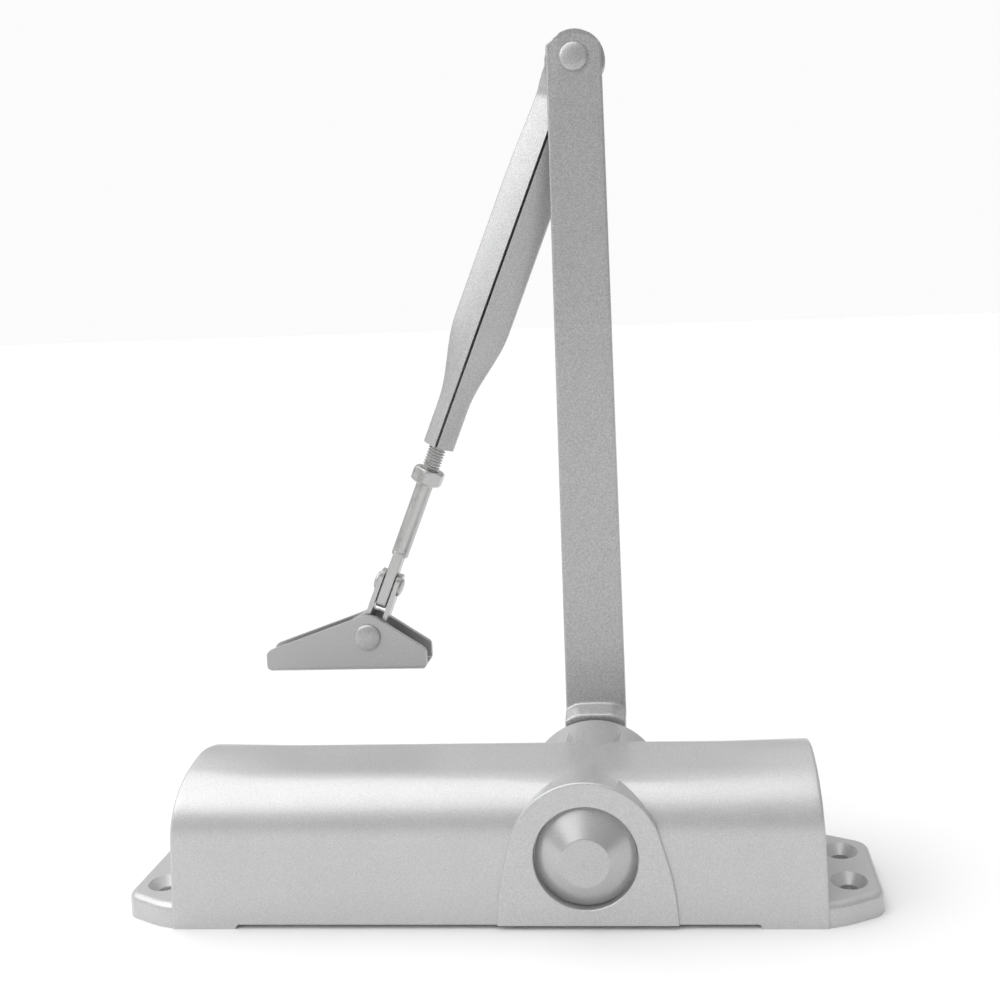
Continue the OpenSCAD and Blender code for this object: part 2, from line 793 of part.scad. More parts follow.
module arm_screw() {
    head_y = hub_back + washer_t;
    color("gray") at_pinion() difference() {
        union() {
            rod_y(head_y, head_y + arm_screw_head_h, arm_screw_head_r);
            rod_y(hub_back - arm_screw_l + 1.5, head_y + cut, arm_screw_r);
        }
        translate([0, head_y + arm_screw_head_h - socket_depth, 0]) rotate([-90, 0, 0])
            cylinder(h = socket_depth + cut, r = 2.9, $fn = 6);
    }
}

module elbow_rivet() {
    color("silver") translate([pinion_x, 0, elbow_z]) {
        rod_y(arm_y - 0.2, eye_y + eye_t + 0.2, rivet_r);
        translate([0, arm_y, 0]) rotate([90, 0, 0]) rivet_head(elbow_head_d / 2, rivet_head_h);
        translate([0, eye_y + eye_t + 0.1, 0]) rotate([-90, 0, 0]) rivet_head(elbow_head_d / 2, rear_head_h);
    }
}

module elbow_washer() {
    color("dimgray") translate([pinion_x, 0, elbow_z])
        ring_y(arm_back, eye_y - 0.05, elbow_head_d / 2 + 1.5, rivet_r + fitting_gap);
}

// ---- forearm ----

// Section of the folded part, in X and Y, round the forearm's middle line
module fold_section(w) {
    ridge = 0.8;
    half_depth = forearm_depth / 2;
    polygon([[-w / 2, -ridge], [-ridge, -half_depth], [ridge, -half_depth], [w / 2, -ridge],
        [w / 2, ridge], [ridge, half_depth], [-ridge, half_depth], [-w / 2, ridge]]);
}

// A stretch of the folded part, from one distance below the elbow to another
module fold_bar(from, to, w) {
    translate([0, fold_y, -to]) linear_extrude(to - from) fold_section(w);
}

module eye_bar(from, to) {
    translate([-eye_r + 0.3, eye_y, -to]) cube([2 * eye_r - 0.6, eye_t, to - from]);
}

module forearm() {
    flat_end = 15;
    fold_start = 32;
    hollow_start = fold_start + 4;
    hollow_end = forearm_l - rod_room;
    blend = 1;
    color("silver") on_forearm() difference() {
        union() {
            rod_y(eye_y, eye_y + eye_t, eye_r);
            eye_bar(0, flat_end);
            hull() {
                eye_bar(flat_end - blend, flat_end);
                fold_bar(fold_start, fold_start + blend, forearm_w);
            }
            fold_bar(fold_start, taper_start, forearm_w);
            hull() {
                fold_bar(taper_start - blend, taper_start, forearm_w);
                fold_bar(neck_start, neck_start + blend, neck_w);
            }
            fold_bar(neck_start, forearm_l, neck_w);
        }
        translate([0, fold_y, -hollow_end]) linear_extrude(hollow_end - hollow_start)
            scale((forearm_depth - 2.6 * sheet_t) / forearm_depth) fold_section(forearm_w);
        translate([0, fold_y, -forearm_l - cut]) cylinder(h = rod_room + 2 * cut, r = thread_r + running_gap);
        rod_y(eye_y - cut, eye_y + eye_t + cut, rivet_r + running_gap);
        translate([-seam_w / 2, fold_y - forearm_depth, -forearm_l - cut])
            cube([seam_w, forearm_depth - thread_r + 1, forearm_l - fold_start + cut]);
    }
}

// ---- adjusting rod ----

module adjusting_rod() {
    color("silver") on_forearm() translate([0, fold_y, 0]) difference() {
        union() {
            translate([0, 0, -nut_bottom]) cylinder(h = nut_bottom - thread_top, r = thread_r);
            translate([0, 0, -tongue_top]) cylinder(h = tongue_top - nut_bottom + 0.5, r = rod_r);
            translate([-tongue_t / 2, -tongue_w / 2, tongue_w / 2 - tongue_end])
                cube([tongue_t, tongue_w, tongue_l - tongue_w / 2]);
            translate([0, 0, tongue_w / 2 - tongue_end]) rod_x(-tongue_t / 2, tongue_t / 2, tongue_w / 2);
        }
        translate([0, 0, -pin_reach]) rod_x(-tongue_t, tongue_t, cross_r + running_gap);
    }
}

module lock_nut() {
    color("silver") on_forearm() translate([0, fold_y, -nut_bottom]) difference() {
        intersection() {
            rotate([0, 0, 30]) cylinder(h = nut_h, r = nut_flats / 2 / cos(30), $fn = 6);
            cylinder(h = nut_h, r = nut_flats / 2 / cos(30) * 0.97);
        }
        translate([0, 0, -cut]) cylinder(h = nut_h + 2 * cut, r = thread_r + running_gap);
    }
}

// ---- link ----

// Side view of an ear, in Y and Z
module ear_outline() {
    translate([fold_y - ear_w / 2, -bridge_top - 1]) square([ear_w, bridge_top + 1 - pin_reach]);
    translate([fold_y, -pin_reach]) circle(r = ear_w / 2);
}

module link_fork() {
    color("silver") on_forearm() difference() {
        union() {
            for (s = [-1, 1]) bar_yz(s > 0 ? ear_in : -ear_out, s > 0 ? ear_out : -ear_in) ear_outline();
            translate([-ear_out, fold_y - ear_w / 2, -bridge_top - bridge_t])
                cube([2 * ear_out, ear_w, bridge_t]);
            translate([-ear_out, fold_y - foot_t / 2, -shoe_reach])
                cube([2 * ear_out, foot_t, shoe_reach - bridge_top]);
            translate([0, 0, -shoe_reach]) rod_y(fold_y - foot_t / 2, fold_y + foot_t / 2, foot_r);
        }
        translate([0, fold_y, -pin_reach]) rod_x(-ear_out - cut, ear_out + cut, cross_r + fitting_gap);
        translate([0, 0, -shoe_reach]) rod_y(fold_y - foot_t, fold_y + foot_t, shoe_pin_r + running_gap);
    }
}

module cross_rivet() {
    color("silver") on_forearm() translate([0, fold_y, -pin_reach]) {
        rod_x(-ear_out - 0.2, ear_out + 0.2, cross_r);
        translate([ear_out, 0, 0]) rotate([0, 90, 0]) rivet_head(cross_head_r, cross_head_h);
        translate([-ear_out, 0, 0]) rotate([0, -90, 0]) rivet_head(cross_head_r, cross_head_h);
    }
}

// ---- shoe ----

// Front view of a side plate, from the shoe's middle and underside
module shoe_outline() {
    half = shoe_l / 2;
    peak = shoe_h - shoe_peak_r;
    shoulder = shoe_peak_r - 0.4;               // the slopes end just inside the round peak
    left_a = atan2(peak - shoe_end_h, shoe_rivet_x + half) + 8;
    right_a = atan2(peak - shoe_end_h, half - shoe_rivet_x) + 14;
    translate([shoe_rivet_x, peak]) circle(r = shoe_peak_r);
    polygon([[-half, 0], [half, 0], [half, shoe_end_h],
        [shoe_rivet_x + shoulder * sin(right_a), peak + shoulder * cos(right_a)],
        [shoe_rivet_x - shoulder * sin(left_a), peak + shoulder * cos(left_a)],
        [-half, shoe_end_h]]);
}

module shoe() {
    color("silver") translate([shoe_x, 0, shoe_z]) difference() {
        union() {
            plate_xz(shoe_front, shoe_front + shoe_t) shoe_outline();
            plate_xz(shoe_back - shoe_t, shoe_back) shoe_outline();
            translate([-shoe_l / 2, shoe_front, 0]) cube([shoe_l, shoe_back - shoe_front, shoe_t]);
        }
        translate([shoe_rivet_x, 0, shoe_rivet_h])
            rod_y(shoe_front - cut, shoe_back + cut, shoe_pin_r + fitting_gap);
        for (s = [-1, 1])
            translate([s * shoe_pitch / 2, fold_y, -cut]) cylinder(h = shoe_t + 2 * cut, d = shoe_hole_d);
    }
}

module shoe_rivet() {
    color("silver") translate([shoe_pin_x, 0, shoe_pin_z]) {
        rod_y(shoe_front - 0.2, shoe_back + 0.2, shoe_pin_r);
        translate([0, shoe_front, 0]) rotate([90, 0, 0]) rivet_head(shoe_head_d / 2, rivet_head_h);
        translate([0, shoe_back, 0]) rotate([-90, 0, 0]) rivet_head(shoe_head_d / 2, rear_head_h);
    }
}

body_housing();
left_end_plug();
left_plug_ring();
right_end_plug();
right_plug_ring();
front_bearing();
front_seal();
front_retainer();
rear_bearing();
rear_seal();
rear_retainer();
spindle_cap();
closing_spring();
spring_seat();
power_screw();
speed_valve();
speed_valve_ring();
latch_valve();
latch_valve_ring();
piston_rack();
check_ball();
ball_retainer();
pinion_shaft();
main_arm();
arm_washer();
arm_screw();
elbow_rivet();
elbow_washer();
forearm();
adjusting_rod();
lock_nut();
link_fork();
cross_rivet();
shoe();
shoe_rivet();
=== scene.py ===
"""Surface-mounted door closer with a scissor arm: castings, pressings and finishes."""

import math
from types import SimpleNamespace

import bmesh
import bpy
from mathutils import Matrix, Vector


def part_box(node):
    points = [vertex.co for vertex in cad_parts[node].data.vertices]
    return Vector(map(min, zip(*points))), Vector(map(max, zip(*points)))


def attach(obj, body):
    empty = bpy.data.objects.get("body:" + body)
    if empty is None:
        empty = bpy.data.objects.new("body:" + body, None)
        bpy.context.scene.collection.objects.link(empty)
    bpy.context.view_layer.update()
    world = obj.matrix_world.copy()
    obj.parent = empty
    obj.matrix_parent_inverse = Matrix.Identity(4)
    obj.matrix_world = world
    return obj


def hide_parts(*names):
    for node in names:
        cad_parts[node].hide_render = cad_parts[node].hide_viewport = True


bl_info = {
    "name": "Door closer",
    "version": (1, 0, 0),
    "blender": (4, 5, 0),
    "location": "View3D > Sidebar > Door closer",
    "description": "Builds the castings, pressings and finishes of a scissor-arm door closer",
    "category": "Object",
}

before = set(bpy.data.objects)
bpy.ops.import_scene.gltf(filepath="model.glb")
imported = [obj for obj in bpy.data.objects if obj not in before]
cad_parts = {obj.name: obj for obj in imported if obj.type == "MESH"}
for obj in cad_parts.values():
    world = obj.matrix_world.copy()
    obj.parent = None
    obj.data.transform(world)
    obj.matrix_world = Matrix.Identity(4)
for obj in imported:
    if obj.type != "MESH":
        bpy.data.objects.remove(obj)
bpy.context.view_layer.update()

MM = 0.001          # shapes are worked in millimetres and scaled once they are finished
ROUND = 96          # steps of a turned or drilled shape
SPARE = 3.0         # how far castings and cutters run past a face before they are trimmed


def corners(node):
    """Lowest and highest corner of a node, in millimetres."""
    low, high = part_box(node)
    return low / MM, high / MM


def middle(node):
    low, high = corners(node)
    return (low + high) / 2


BODY_HIGH = corners("body_housing")[1]
PINION = middle("pinion_shaft")
ELBOW = middle("elbow_rivet")
SHOE_PIN = middle("shoe_rivet")
LEAN = math.atan2(ELBOW.x - SHOE_PIN.x, ELBOW.z - SHOE_PIN.z)
FOLD_Y = middle("shoe").y


def forearm_place():
    """From the forearm's own frame, hanging down -Z from the elbow, to its place."""
    return Matrix.Translation((ELBOW.x, 0, ELBOW.z)) @ Matrix.Rotation(LEAN, 4, "Y")


# ---- sizes and colours

def length(name, description, millimetres):
    """A length property whose default is given in millimetres."""
    return bpy.props.FloatProperty(
        name=name, description=description, default=millimetres * MM, min=0.0, unit="LENGTH",
        precision=5)


def share(name, description, value):
    return bpy.props.FloatProperty(
        name=name, description=description, default=value, min=0.5, max=1.0, subtype="FACTOR")


def colour(name, description, value):
    return bpy.props.FloatVectorProperty(
        name=name, description=description, default=value, size=3, min=0.0, max=1.0,
        subtype="COLOR")


class HousingSizes(bpy.types.PropertyGroup):
    body_length: length("Body length", "Length of the casting at its foot", 193)
    body_width: length("Body width", "Width of the casting, front to back", 48)
    body_height: length("Body height", "Height of the casting at its middle", 41.6)
    shoulder: length("Shoulder", "Radius of the two upper corners", 15)
    end_rise: length("End rise", "How much the ends stand higher than the middle", 2.8)
    rise_length: length("Rise length", "Length over which an end rises", 34)
    crown: length("Crown", "Half width over which the rise falls to a third", 10.8)
    end_lean: bpy.props.FloatProperty(
        name="End lean", description="Inward lean of the end faces",
        default=math.radians(2.3), subtype="ANGLE", unit="ROTATION")
    lug_height: length("Lug height", "Thickness of the fixing lugs", 7)
    lug_corner: length("Lug corner", "Where a lug's slanted side meets its end", 16.2)
    lug_edge: length("Lug edge", "Rounding of a lug's upper edge", 2.0)
    pad_height: length("Pad height", "Height of the seating pads", 1.4)
    pad_length: length("Pad length", "Length of a seating pad", 19)
    cylinder: length("Cylinder", "Diameter of the oil cylinder", 28)
    hole: length("Fixing hole", "Diameter of a fixing hole", 5.6)
    countersink: length("Countersink", "Diameter of a countersink", 11)
    hole_spread: length("Hole spread", "Distance between the two pairs of fixing holes", 207)
    hole_pair: length("Hole pair", "Distance between the two holes of a pair", 19)
    boss: length("Boss", "Diameter of the round boss", 45)
    apron: length("Apron", "Extra half width of the boss at its foot", 4)
    front_draft: share("Front draft", "Boss at its middle against its front face", 0.889)
    back_draft: share("Back draft", "Boss at its middle against its back face", 0.858)
    cap_seat: length("Cap seat", "Diameter of the seat of the cap", 30.4)
    seat_depth: length("Seat depth", "Depth of the seat of the cap", 3)
    fillet: length("Fillet", "Radius where the boss runs into the body", 1.0)


class ArmSizes(bpy.types.PropertyGroup):
    root_width: length("Root width", "Width of the main arm at its bend", 20)
    tip_width: length("Tip width", "Width of the main arm at its tip", 17.8)
    thickness: length("Thickness", "Thickness of the main arm", 4.2)
    step: length("Step", "Sideways step of the main arm", 5.4)
    bend: length("Bend", "Height of the bend above the spindle", 25)
    tip_arc: length("Tip arc", "Radius of the rounded tip", 12)
    hub: length("Hub", "Radius of the hub round the spindle", 13)
    square: length("Square hole", "Side of the square hole", 9.06)
    rivet_hole: length("Rivet hole", "Diameter of the elbow rivet's hole", 6.06)
    edge: length("Edge", "Rounding of the arm's edges", 0.7)


class ForearmSizes(bpy.types.PropertyGroup):
    open_end: length("Open end", "Distance from the elbow to the open end", 136)
    fold_width: length("Fold width", "Width of the folded part", 19.4)
    neck_width: length("Neck width", "Width of the open end", 10.6)
    depth: length("Depth", "Depth of the folded part", 10.8)
    taper: length("Taper", "Where the folded part starts to narrow", 92)
    neck: length("Neck", "Where the neck begins", 121)
    eye: length("Eye", "Radius of the flattened eye", 9.9)
    waist: length("Waist", "Width just below the eye", 17.4)
    flat_end: length("Flat end", "Distance from the elbow to where the flat ends", 6)
    fold_start: length("Fold start", "Distance from the elbow to the full fold", 15)
    eye_thickness: length("Eye thickness", "Thickness of the flattened eye", 3.8)
    seam: length("Seam", "Width of the open seam", 0.9)
    mouth: length("Mouth", "Diameter of the opening round the thread", 6.5)


class RodSizes(bpy.types.PropertyGroup):
    thread: length("Thread", "Diameter of the thread", 6)
    pitch: length("Pitch", "Pitch of the thread", 1)
    rod: length("Rod", "Diameter of the plain part", 5.8)
    nut_top: length("Nut top", "Distance from the elbow to the lock nut", 144.5)
    nut_height: length("Nut height", "Thickness of the lock nut", 5)
    nut_flats: length("Nut flats", "Distance across the flats of the lock nut", 10)
    shoulder: length("Shoulder", "Distance from the elbow to the end of the round part", 176.8)
    tongue_end: length("Tongue end", "Distance from the elbow to the tongue's end", 195.4)
    tongue: length("Tongue", "Thickness of the tongue", 3.6)
    tongue_width: length("Tongue width", "Width of the tongue", 6.6)
    pin_reach: length("Pin reach", "Distance from the elbow to the cross rivet", 187)


class LinkSizes(bpy.types.PropertyGroup):
    ear_inside: length("Ear inside", "Distance of an ear's inner face from the middle", 2.1)
    ear_thickness: length("Ear thickness", "Thickness of an ear", 1.7)
    ear_width: length("Ear width", "Width of an ear", 6.6)
    ear_top: length("Ear top", "Distance from the elbow to the top of the ears", 182.6)
    ear_bend: length("Ear bend", "Distance from the elbow to the bend of the ears", 199.2)
    foot: length("Foot", "Radius of the foot round the shoe rivet", 5.6)
    pin_reach: length("Pin reach", "Distance from the elbow to the shoe rivet", 205.6)
    pin: length("Pin", "Diameter of the shoe rivet", 4.6)


class ShoeSizes(bpy.types.PropertyGroup):
    end_height: length("End height", "Height of the two ends", 7)
    peak: length("Peak", "Rounding of the peak", 6)
    end_corner: length("End corner", "Rounding of the outer corners", 2.2)
    sheet: length("Sheet", "Thickness of the plate", 1.8)
    pitch: length("Pitch", "Distance between the fixing holes", 40)
    hole: length("Hole", "Diameter of a fixing hole", 4)


class RivetSizes(bpy.types.PropertyGroup):
    elbow_head: length("Elbow head", "Diameter of the elbow rivet's head", 9.2)
    shoe_head: length("Shoe head", "Diameter of the shoe rivet's head", 9)
    cross_head: length("Cross head", "Diameter of the cross rivet's head", 6.2)
    front_height: length("Front height", "Height of a front head", 1.6)
    back_height: length("Back height", "Height of a back head", 1.4)
    cross_height: length("Cross height", "Height of a cross rivet's head", 1.3)


class CapSizes(bpy.types.PropertyGroup):
    diameter: length("Diameter", "Diameter of the cap", 29.6)
    flat: length("Flat", "Diameter of the flat middle", 14)
    rim: length("Rim", "Height of the straight rim", 0.7)
    cone: length("Cone", "Height of the cone", 5.1)
    wall: length("Wall", "Wall thickness", 1)
    dimple: length("Dimple", "Depth of the centre mark", 0.35)


class Finishes(bpy.types.PropertyGroup):
    housing: colour("Housing", "Lacquer of the casting", (0.56, 0.56, 0.565))
    arm: colour("Arms", "Lacquer of the arms and the shoe", (0.47, 0.47, 0.475))
    cap: colour("Cap", "Lacquer of the cap", (0.50, 0.50, 0.505))
    plating: colour("Plating", "Zinc plating of the rod, nut and rivets", (0.55, 0.55, 0.545))
    floor: colour("Floor", "Pale floor", (0.93, 0.93, 0.93))
    backdrop: colour("Backdrop", "Light that fills the studio", (1.0, 1.0, 1.0))


def millimetres(group):
    """A group's lengths in millimetres, with its angles as they are."""
    found = {}
    for key, kind in group.bl_rna.properties.items():
        if kind.type == "FLOAT" and not kind.is_array:
            found[key] = getattr(group, key) / (MM if kind.unit == "LENGTH" else 1)
    return SimpleNamespace(**found)


# ---- shaping

def outline(points, plane):
    """A bmesh of one face, drawn in the plane XY, XZ or YZ."""
    put = {"XY": lambda a, b: (a, b, 0), "XZ": lambda a, b: (a, 0, b),
           "YZ": lambda a, b: (0, a, b)}[plane]
    bm = bmesh.new()
    bm.faces.new([bm.verts.new(put(a, b)) for a, b in points])
    return bm


def round_corners(bm, radius, segments, where):
    """Rounds those corners of a flat outline that where(vertex) picks."""
    picked = [v for v in bm.verts if where(v.co)]
    for v in picked:
        one, two = [(e.other_vert(v).co - v.co).normalized() for e in v.link_edges]
        reach = radius / math.tan(one.angle(two) / 2)
        bmesh.ops.bevel(bm, geom=[v], offset=reach, offset_type="OFFSET", affect="VERTICES",
                        segments=segments, profile=0.5, material=-1)


def extrude(bm, vector):
    """Draws a flat outline out into a closed solid."""
    made = bmesh.ops.extrude_face_region(bm, geom=bm.faces[:])
    moved = [g for g in made["geom"] if isinstance(g, bmesh.types.BMVert)]
    bmesh.ops.translate(bm, verts=moved, vec=vector)
    bmesh.ops.recalc_face_normals(bm, faces=bm.faces)
    return bm


def loft(sections):
    """A closed solid drawn through sections that have the same number of points."""
    bm = bmesh.new()
    ring = [bm.verts.new(p) for p in sections[0]]
    face = bm.faces.new(ring)
    for number, section in enumerate(sections[1:]):
        inner = face
        made = bmesh.ops.extrude_face_region(bm, geom=[inner])["geom"]
        face = [g for g in made if isinstance(g, bmesh.types.BMFace)][0]
        if number and inner.is_valid:
            bmesh.ops.delete(bm, geom=[inner], context="FACES_ONLY")
        ring = [min(face.verts, key=lambda v: (v.co - old.co).length) for old in ring]
        for vert, point in zip(ring, section):
            vert.co = point
    bmesh.ops.recalc_face_normals(bm, faces=bm.faces)
    return bm


def place(bm, matrix):
    bmesh.ops.transform(bm, matrix=matrix, verts=bm.verts)
    return bm


def slide(bm, x=0, y=0, z=0):
    return place(bm, Matrix.Translation((x, y, z)))


def cut_across(bm, places, axis):
    """Adds a row of edges across the shape at each of these places along an axis."""
    normal = Vector(("X" == axis, "Y" == axis, "Z" == axis))
    for at in places:
        bmesh.ops.bisect_plane(bm, geom=bm.verts[:] + bm.edges[:] + bm.faces[:], dist=1e-5,
                               plane_co=normal * at, plane_no=normal)
    return bm


def bevel(bm, edges, radius, segments, clamp=True):
    """Rounds these edges."""
    bmesh.ops.bevel(bm, geom=edges, offset=radius, offset_type="OFFSET", affect="EDGES",
                    segments=segments, profile=0.5, material=-1, clamp_overlap=clamp)
    return bm


def soften(bm, radius, segments=3, above=40, where=None):
    """Rounds the edges that turn by more than an angle, in degrees."""
    picked = [e for e in bm.edges if len(e.link_faces) == 2
              and e.calc_face_angle(0) > math.radians(above) and (where is None or where(e))]
    return bevel(bm, picked, radius, segments)


def turned(profile, closed=False, steps=ROUND):
    """A shape turned on +Z from (radius, height) points; closed joins the last to the first."""
    bm = bmesh.new()
    verts = [bm.verts.new((r, 0, h)) for r, h in profile]
    edges = [bm.edges.new(pair) for pair in zip(verts, verts[1:])]
    if closed:
        edges.append(bm.edges.new((verts[-1], verts[0])))
    bmesh.ops.spin(bm, geom=verts + edges, cent=(0, 0, 0), axis=(0, 0, 1), angle=math.tau,
                   steps=steps, use_merge=True)
    bmesh.ops.remove_doubles(bm, verts=bm.verts, dist=1e-4)
    bmesh.ops.recalc_face_normals(bm, faces=bm.faces)
    return bm


def disc(radius, height, edge=0.0, steps=ROUND):
    """A round bar on +Z, standing on 0, with both its edges chamfered."""
    return turned([(0, 0), (radius - edge, 0), (radius, edge), (radius, height - edge),
                   (radius - edge, height), (0, height)], steps=steps)


def facing(axis):
    """Turns a shape made on +Z to face along an axis."""
    turn, about = {"-Y": (90, "X"), "+Y": (-90, "X"), "+X": (90, "Y")}[axis]
    return Matrix.Rotation(math.radians(turn), 4, about)


def bar(radius, height, axis, at, edge=0.0, steps=ROUND):
    """A round bar that starts at a place and runs along an axis."""
    return slide(place(disc(radius, height, edge, steps), facing(axis)), *at)


def block(width, depth, height, centre):
    """A box about its centre."""
    bm = bmesh.new()
    bmesh.ops.create_cube(bm, size=1.0)
    bmesh.ops.scale(bm, vec=(width, depth, height), verts=bm.verts)
    return slide(bm, *centre)


def mesh_from(bm, name):
    """Moves a bmesh into a new mesh."""
    mesh = bpy.data.meshes.new(name)
    bm.to_mesh(mesh)
    bm.free()
    return mesh


def put(name, data):
    """Adds an object to the scene."""
    obj = bpy.data.objects.new(name, data)
    bpy.context.scene.collection.objects.link(obj)
    return obj


def combine(base, tools, operation):
    """Joins, cuts or trims one closed bmesh with others, in turn."""
    for tool in tools:
        holder = put("holder", mesh_from(base, "holder"))
        cutter = put("cutter", mesh_from(tool, "cutter"))
        step = holder.modifiers.new("combine", "BOOLEAN")
        step.operation, step.solver, step.object = operation, "EXACT", cutter
        base = bmesh.new()
        base.from_object(holder, bpy.context.evaluated_depsgraph_get())
        for obj in (holder, cutter):
            mesh = obj.data
            bpy.data.objects.remove(obj)
            bpy.data.meshes.remove(mesh)
        bmesh.ops.remove_doubles(base, verts=base.verts, dist=1e-4)
        if not base.faces:
            raise RuntimeError(f"nothing was left of a shape after {operation.lower()}")
    return base


def join(*shapes):
    """Puts closed shapes of one piece into one bmesh."""
    whole = bmesh.new()
    for bm in shapes:
        mesh = mesh_from(bm, "part")
        whole.from_mesh(mesh)
        bpy.data.meshes.remove(mesh)
    return whole


def finish_piece(bm, name, body, nodes, slot, sharp=38):
    """Turns a bmesh in millimetres into a piece that rides on a body and stands for CAD nodes."""
    bmesh.ops.remove_doubles(bm, verts=bm.verts, dist=1e-4)
    bmesh.ops.dissolve_degenerate(bm, edges=bm.edges, dist=1e-4)
    bmesh.ops.recalc_face_normals(bm, faces=bm.faces)
    bmesh.ops.scale(bm, vec=(MM, MM, MM), verts=bm.verts)
    for face in bm.faces:
        face.smooth = True
    for edge in bm.edges:
        edge.smooth = len(edge.link_faces) == 2 and edge.calc_face_angle(0) < math.radians(sharp)
    piece = put(name, mesh_from(bm, name))
    piece.data.materials.append(FINISH[slot])
    piece.modifiers.new("weighted_normals", "WEIGHTED_NORMAL").keep_sharp = True
    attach(piece, body)
    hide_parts(*nodes)


def smooth_step(t):
    t = min(1.0, max(0.0, t))
    return t * t * (3 - 2 * t)


# ---- finishes

def add(tree, kind, inputs, **settings):
    """Adds a node; an input given a socket is linked, and one given a value is set."""
    node = tree.nodes.new(kind)
    for key, value in settings.items():
        setattr(node, key, value)
    for key, value in inputs.items():
        if isinstance(value, bpy.types.NodeSocket):
            tree.links.new(value, node.inputs[key])
        else:
            node.inputs[key].default_value = value
    return node


def finish_nodes(name, base, metallic, roughness):
    """A new material with its node tree, its shader and its coordinates."""
    material = bpy.data.materials.new(name)
    material.use_nodes = True
    material.diffuse_color = (*base, 1)
    tree = material.node_tree
    shader = tree.nodes["Principled BSDF"]
    shader.inputs["Base Color"].default_value = (*base, 1)
    shader.inputs["Metallic"].default_value = metallic
    shader.inputs["Roughness"].default_value = roughness
    return material, tree, shader, tree.nodes.new("ShaderNodeTexCoord").outputs["Object"]


def stretched(tree, coordinates, scale):
    """Coordinates stretched along an axis, for a grain that runs one way."""
    return add(tree, "ShaderNodeMapping", {"Vector": coordinates, "Scale": scale}).outputs["Vector"]


def noise(tree, coordinates, size, detail=2.0, roughness=0.5):
    """Noise whose blotches are about size millimetres across."""
    return add(tree, "ShaderNodeTexNoise", {
        "Vector": coordinates, "Scale": 1 / (size * MM), "Detail": detail,
        "Roughness": roughness}).outputs["Fac"]


def spread(tree, value, low, high, start=0.3, end=0.7):
    """Maps a value between start and end onto a range; noise lies mostly within 0.3 to 0.7."""
    return add(tree, "ShaderNodeMapRange", {
        "Value": value, "From Min": start, "From Max": end, "To Min": low,
        "To Max": high}).outputs["Result"]


def product(tree, value, *others):
    """Multiplies values with one another."""
    for other in others:
        node = add(tree, "ShaderNodeMath", {0: value, 1: other}, operation="MULTIPLY")
        value = node.outputs["Value"]
    return value


def shade(tree, shader, base, factor):
    """Multiplies the base colour by a factor that varies over the surface."""
    grey = add(tree, "ShaderNodeCombineColor", {"Red": factor, "Green": factor, "Blue": factor})
    mix = add(tree, "ShaderNodeMix", {"Factor": 1.0, "A": (*base, 1), "B": grey.outputs["Color"]},
              data_type="RGBA", blend_type="MULTIPLY")
    tree.links.new(mix.outputs["Result"], shader.inputs["Base Color"])


def bumps(tree, shader, *layers):
    """Bumps from (value, height in millimetres) layers, one on another."""
    below = {}
    for value, height in layers:
        node = add(tree, "ShaderNodeBump",
                   {"Strength": 1.0, "Distance": height * MM, "Height": value, **below})
        below = {"Normal": node.outputs["Normal"]}
    tree.links.new(below["Normal"], shader.inputs["Normal"])


def dull(tree, shader, value, low, high):
    """Lets the roughness vary over the surface."""
    tree.links.new(spread(tree, value, low, high), shader.inputs["Roughness"])


def lacquer(name, base, roughness=0.42, metallic=0.55, flake=0.28, speckle=0.12, peel=0.004):
    """Satin silver lacquer: metal flake of a size in millimetres, in a slightly rippled coat."""
    material, tree, shader, place_at = finish_nodes(name, base, metallic, roughness)
    flakes = noise(tree, place_at, flake, 1.0)
    coarse = noise(tree, place_at, flake * 4, 2.0)
    clouds = noise(tree, place_at, 14, 3.0)
    shade(tree, shader, base, product(
        tree, spread(tree, flakes, 1 - speckle, 1 + speckle), spread(tree, coarse, 0.985, 1.015),
        spread(tree, clouds, 0.985, 1.01)))
    shader.inputs["Coat Weight"].default_value = 0.35
    shader.inputs["Coat Roughness"].default_value = 0.12
    dull(tree, shader, coarse, roughness - 0.05, roughness + 0.05)
    ripple = noise(tree, place_at, 1.1, 2.0)
    bumps(tree, shader, (ripple, peel), (flakes, 0.0002))
    return material


def plated(name, base, roughness=0.3, grain=(1.0, 1.0, 1.0), scratch=0.0015, metallic=0.9):
    """Plated or plain steel with a fine grain that runs one way, and dull spots."""
    material, tree, shader, place_at = finish_nodes(name, base, metallic, roughness)
    lines = noise(tree, stretched(tree, place_at, grain), 0.3, 3.0)
    spots = noise(tree, place_at, 2.5, 4.0, 0.6)
    shade(tree, shader, base,
          product(tree, spread(tree, lines, 0.92, 1.06), spread(tree, spots, 0.93, 1.04)))
    dull(tree, shader, spots, roughness - 0.07, roughness + 0.09)
    bumps(tree, shader, (lines, scratch))
    return material


def cast_iron(name, base):
    """Machined cast iron: turning lines over a pitted ground."""
    material, tree, shader, place_at = finish_nodes(name, base, 0.75, 0.45)
    pits = noise(tree, place_at, 0.5, 5.0, 0.7)
    rings = noise(tree, stretched(tree, place_at, (8.0, 0.4, 0.4)), 0.6, 2.0)
    shade(tree, shader, base,
          product(tree, spread(tree, pits, 0.75, 1.1), spread(tree, rings, 0.92, 1.05)))
    dull(tree, shader, pits, 0.38, 0.6)
    bumps(tree, shader, (pits, 0.01), (rings, 0.004))
    return material


def rubber(name, base):
    """Oiled black rubber with a faint moulded grain."""
    material, tree, shader, place_at = finish_nodes(name, base, 0.0, 0.42)
    grain = noise(tree, place_at, 0.25, 3.0)
    film = noise(tree, place_at, 3.0, 2.0)
    shade(tree, shader, base, spread(tree, grain, 0.8, 1.25))
    dull(tree, shader, film, 0.3, 0.6)
    bumps(tree, shader, (grain, 0.006))
    return material


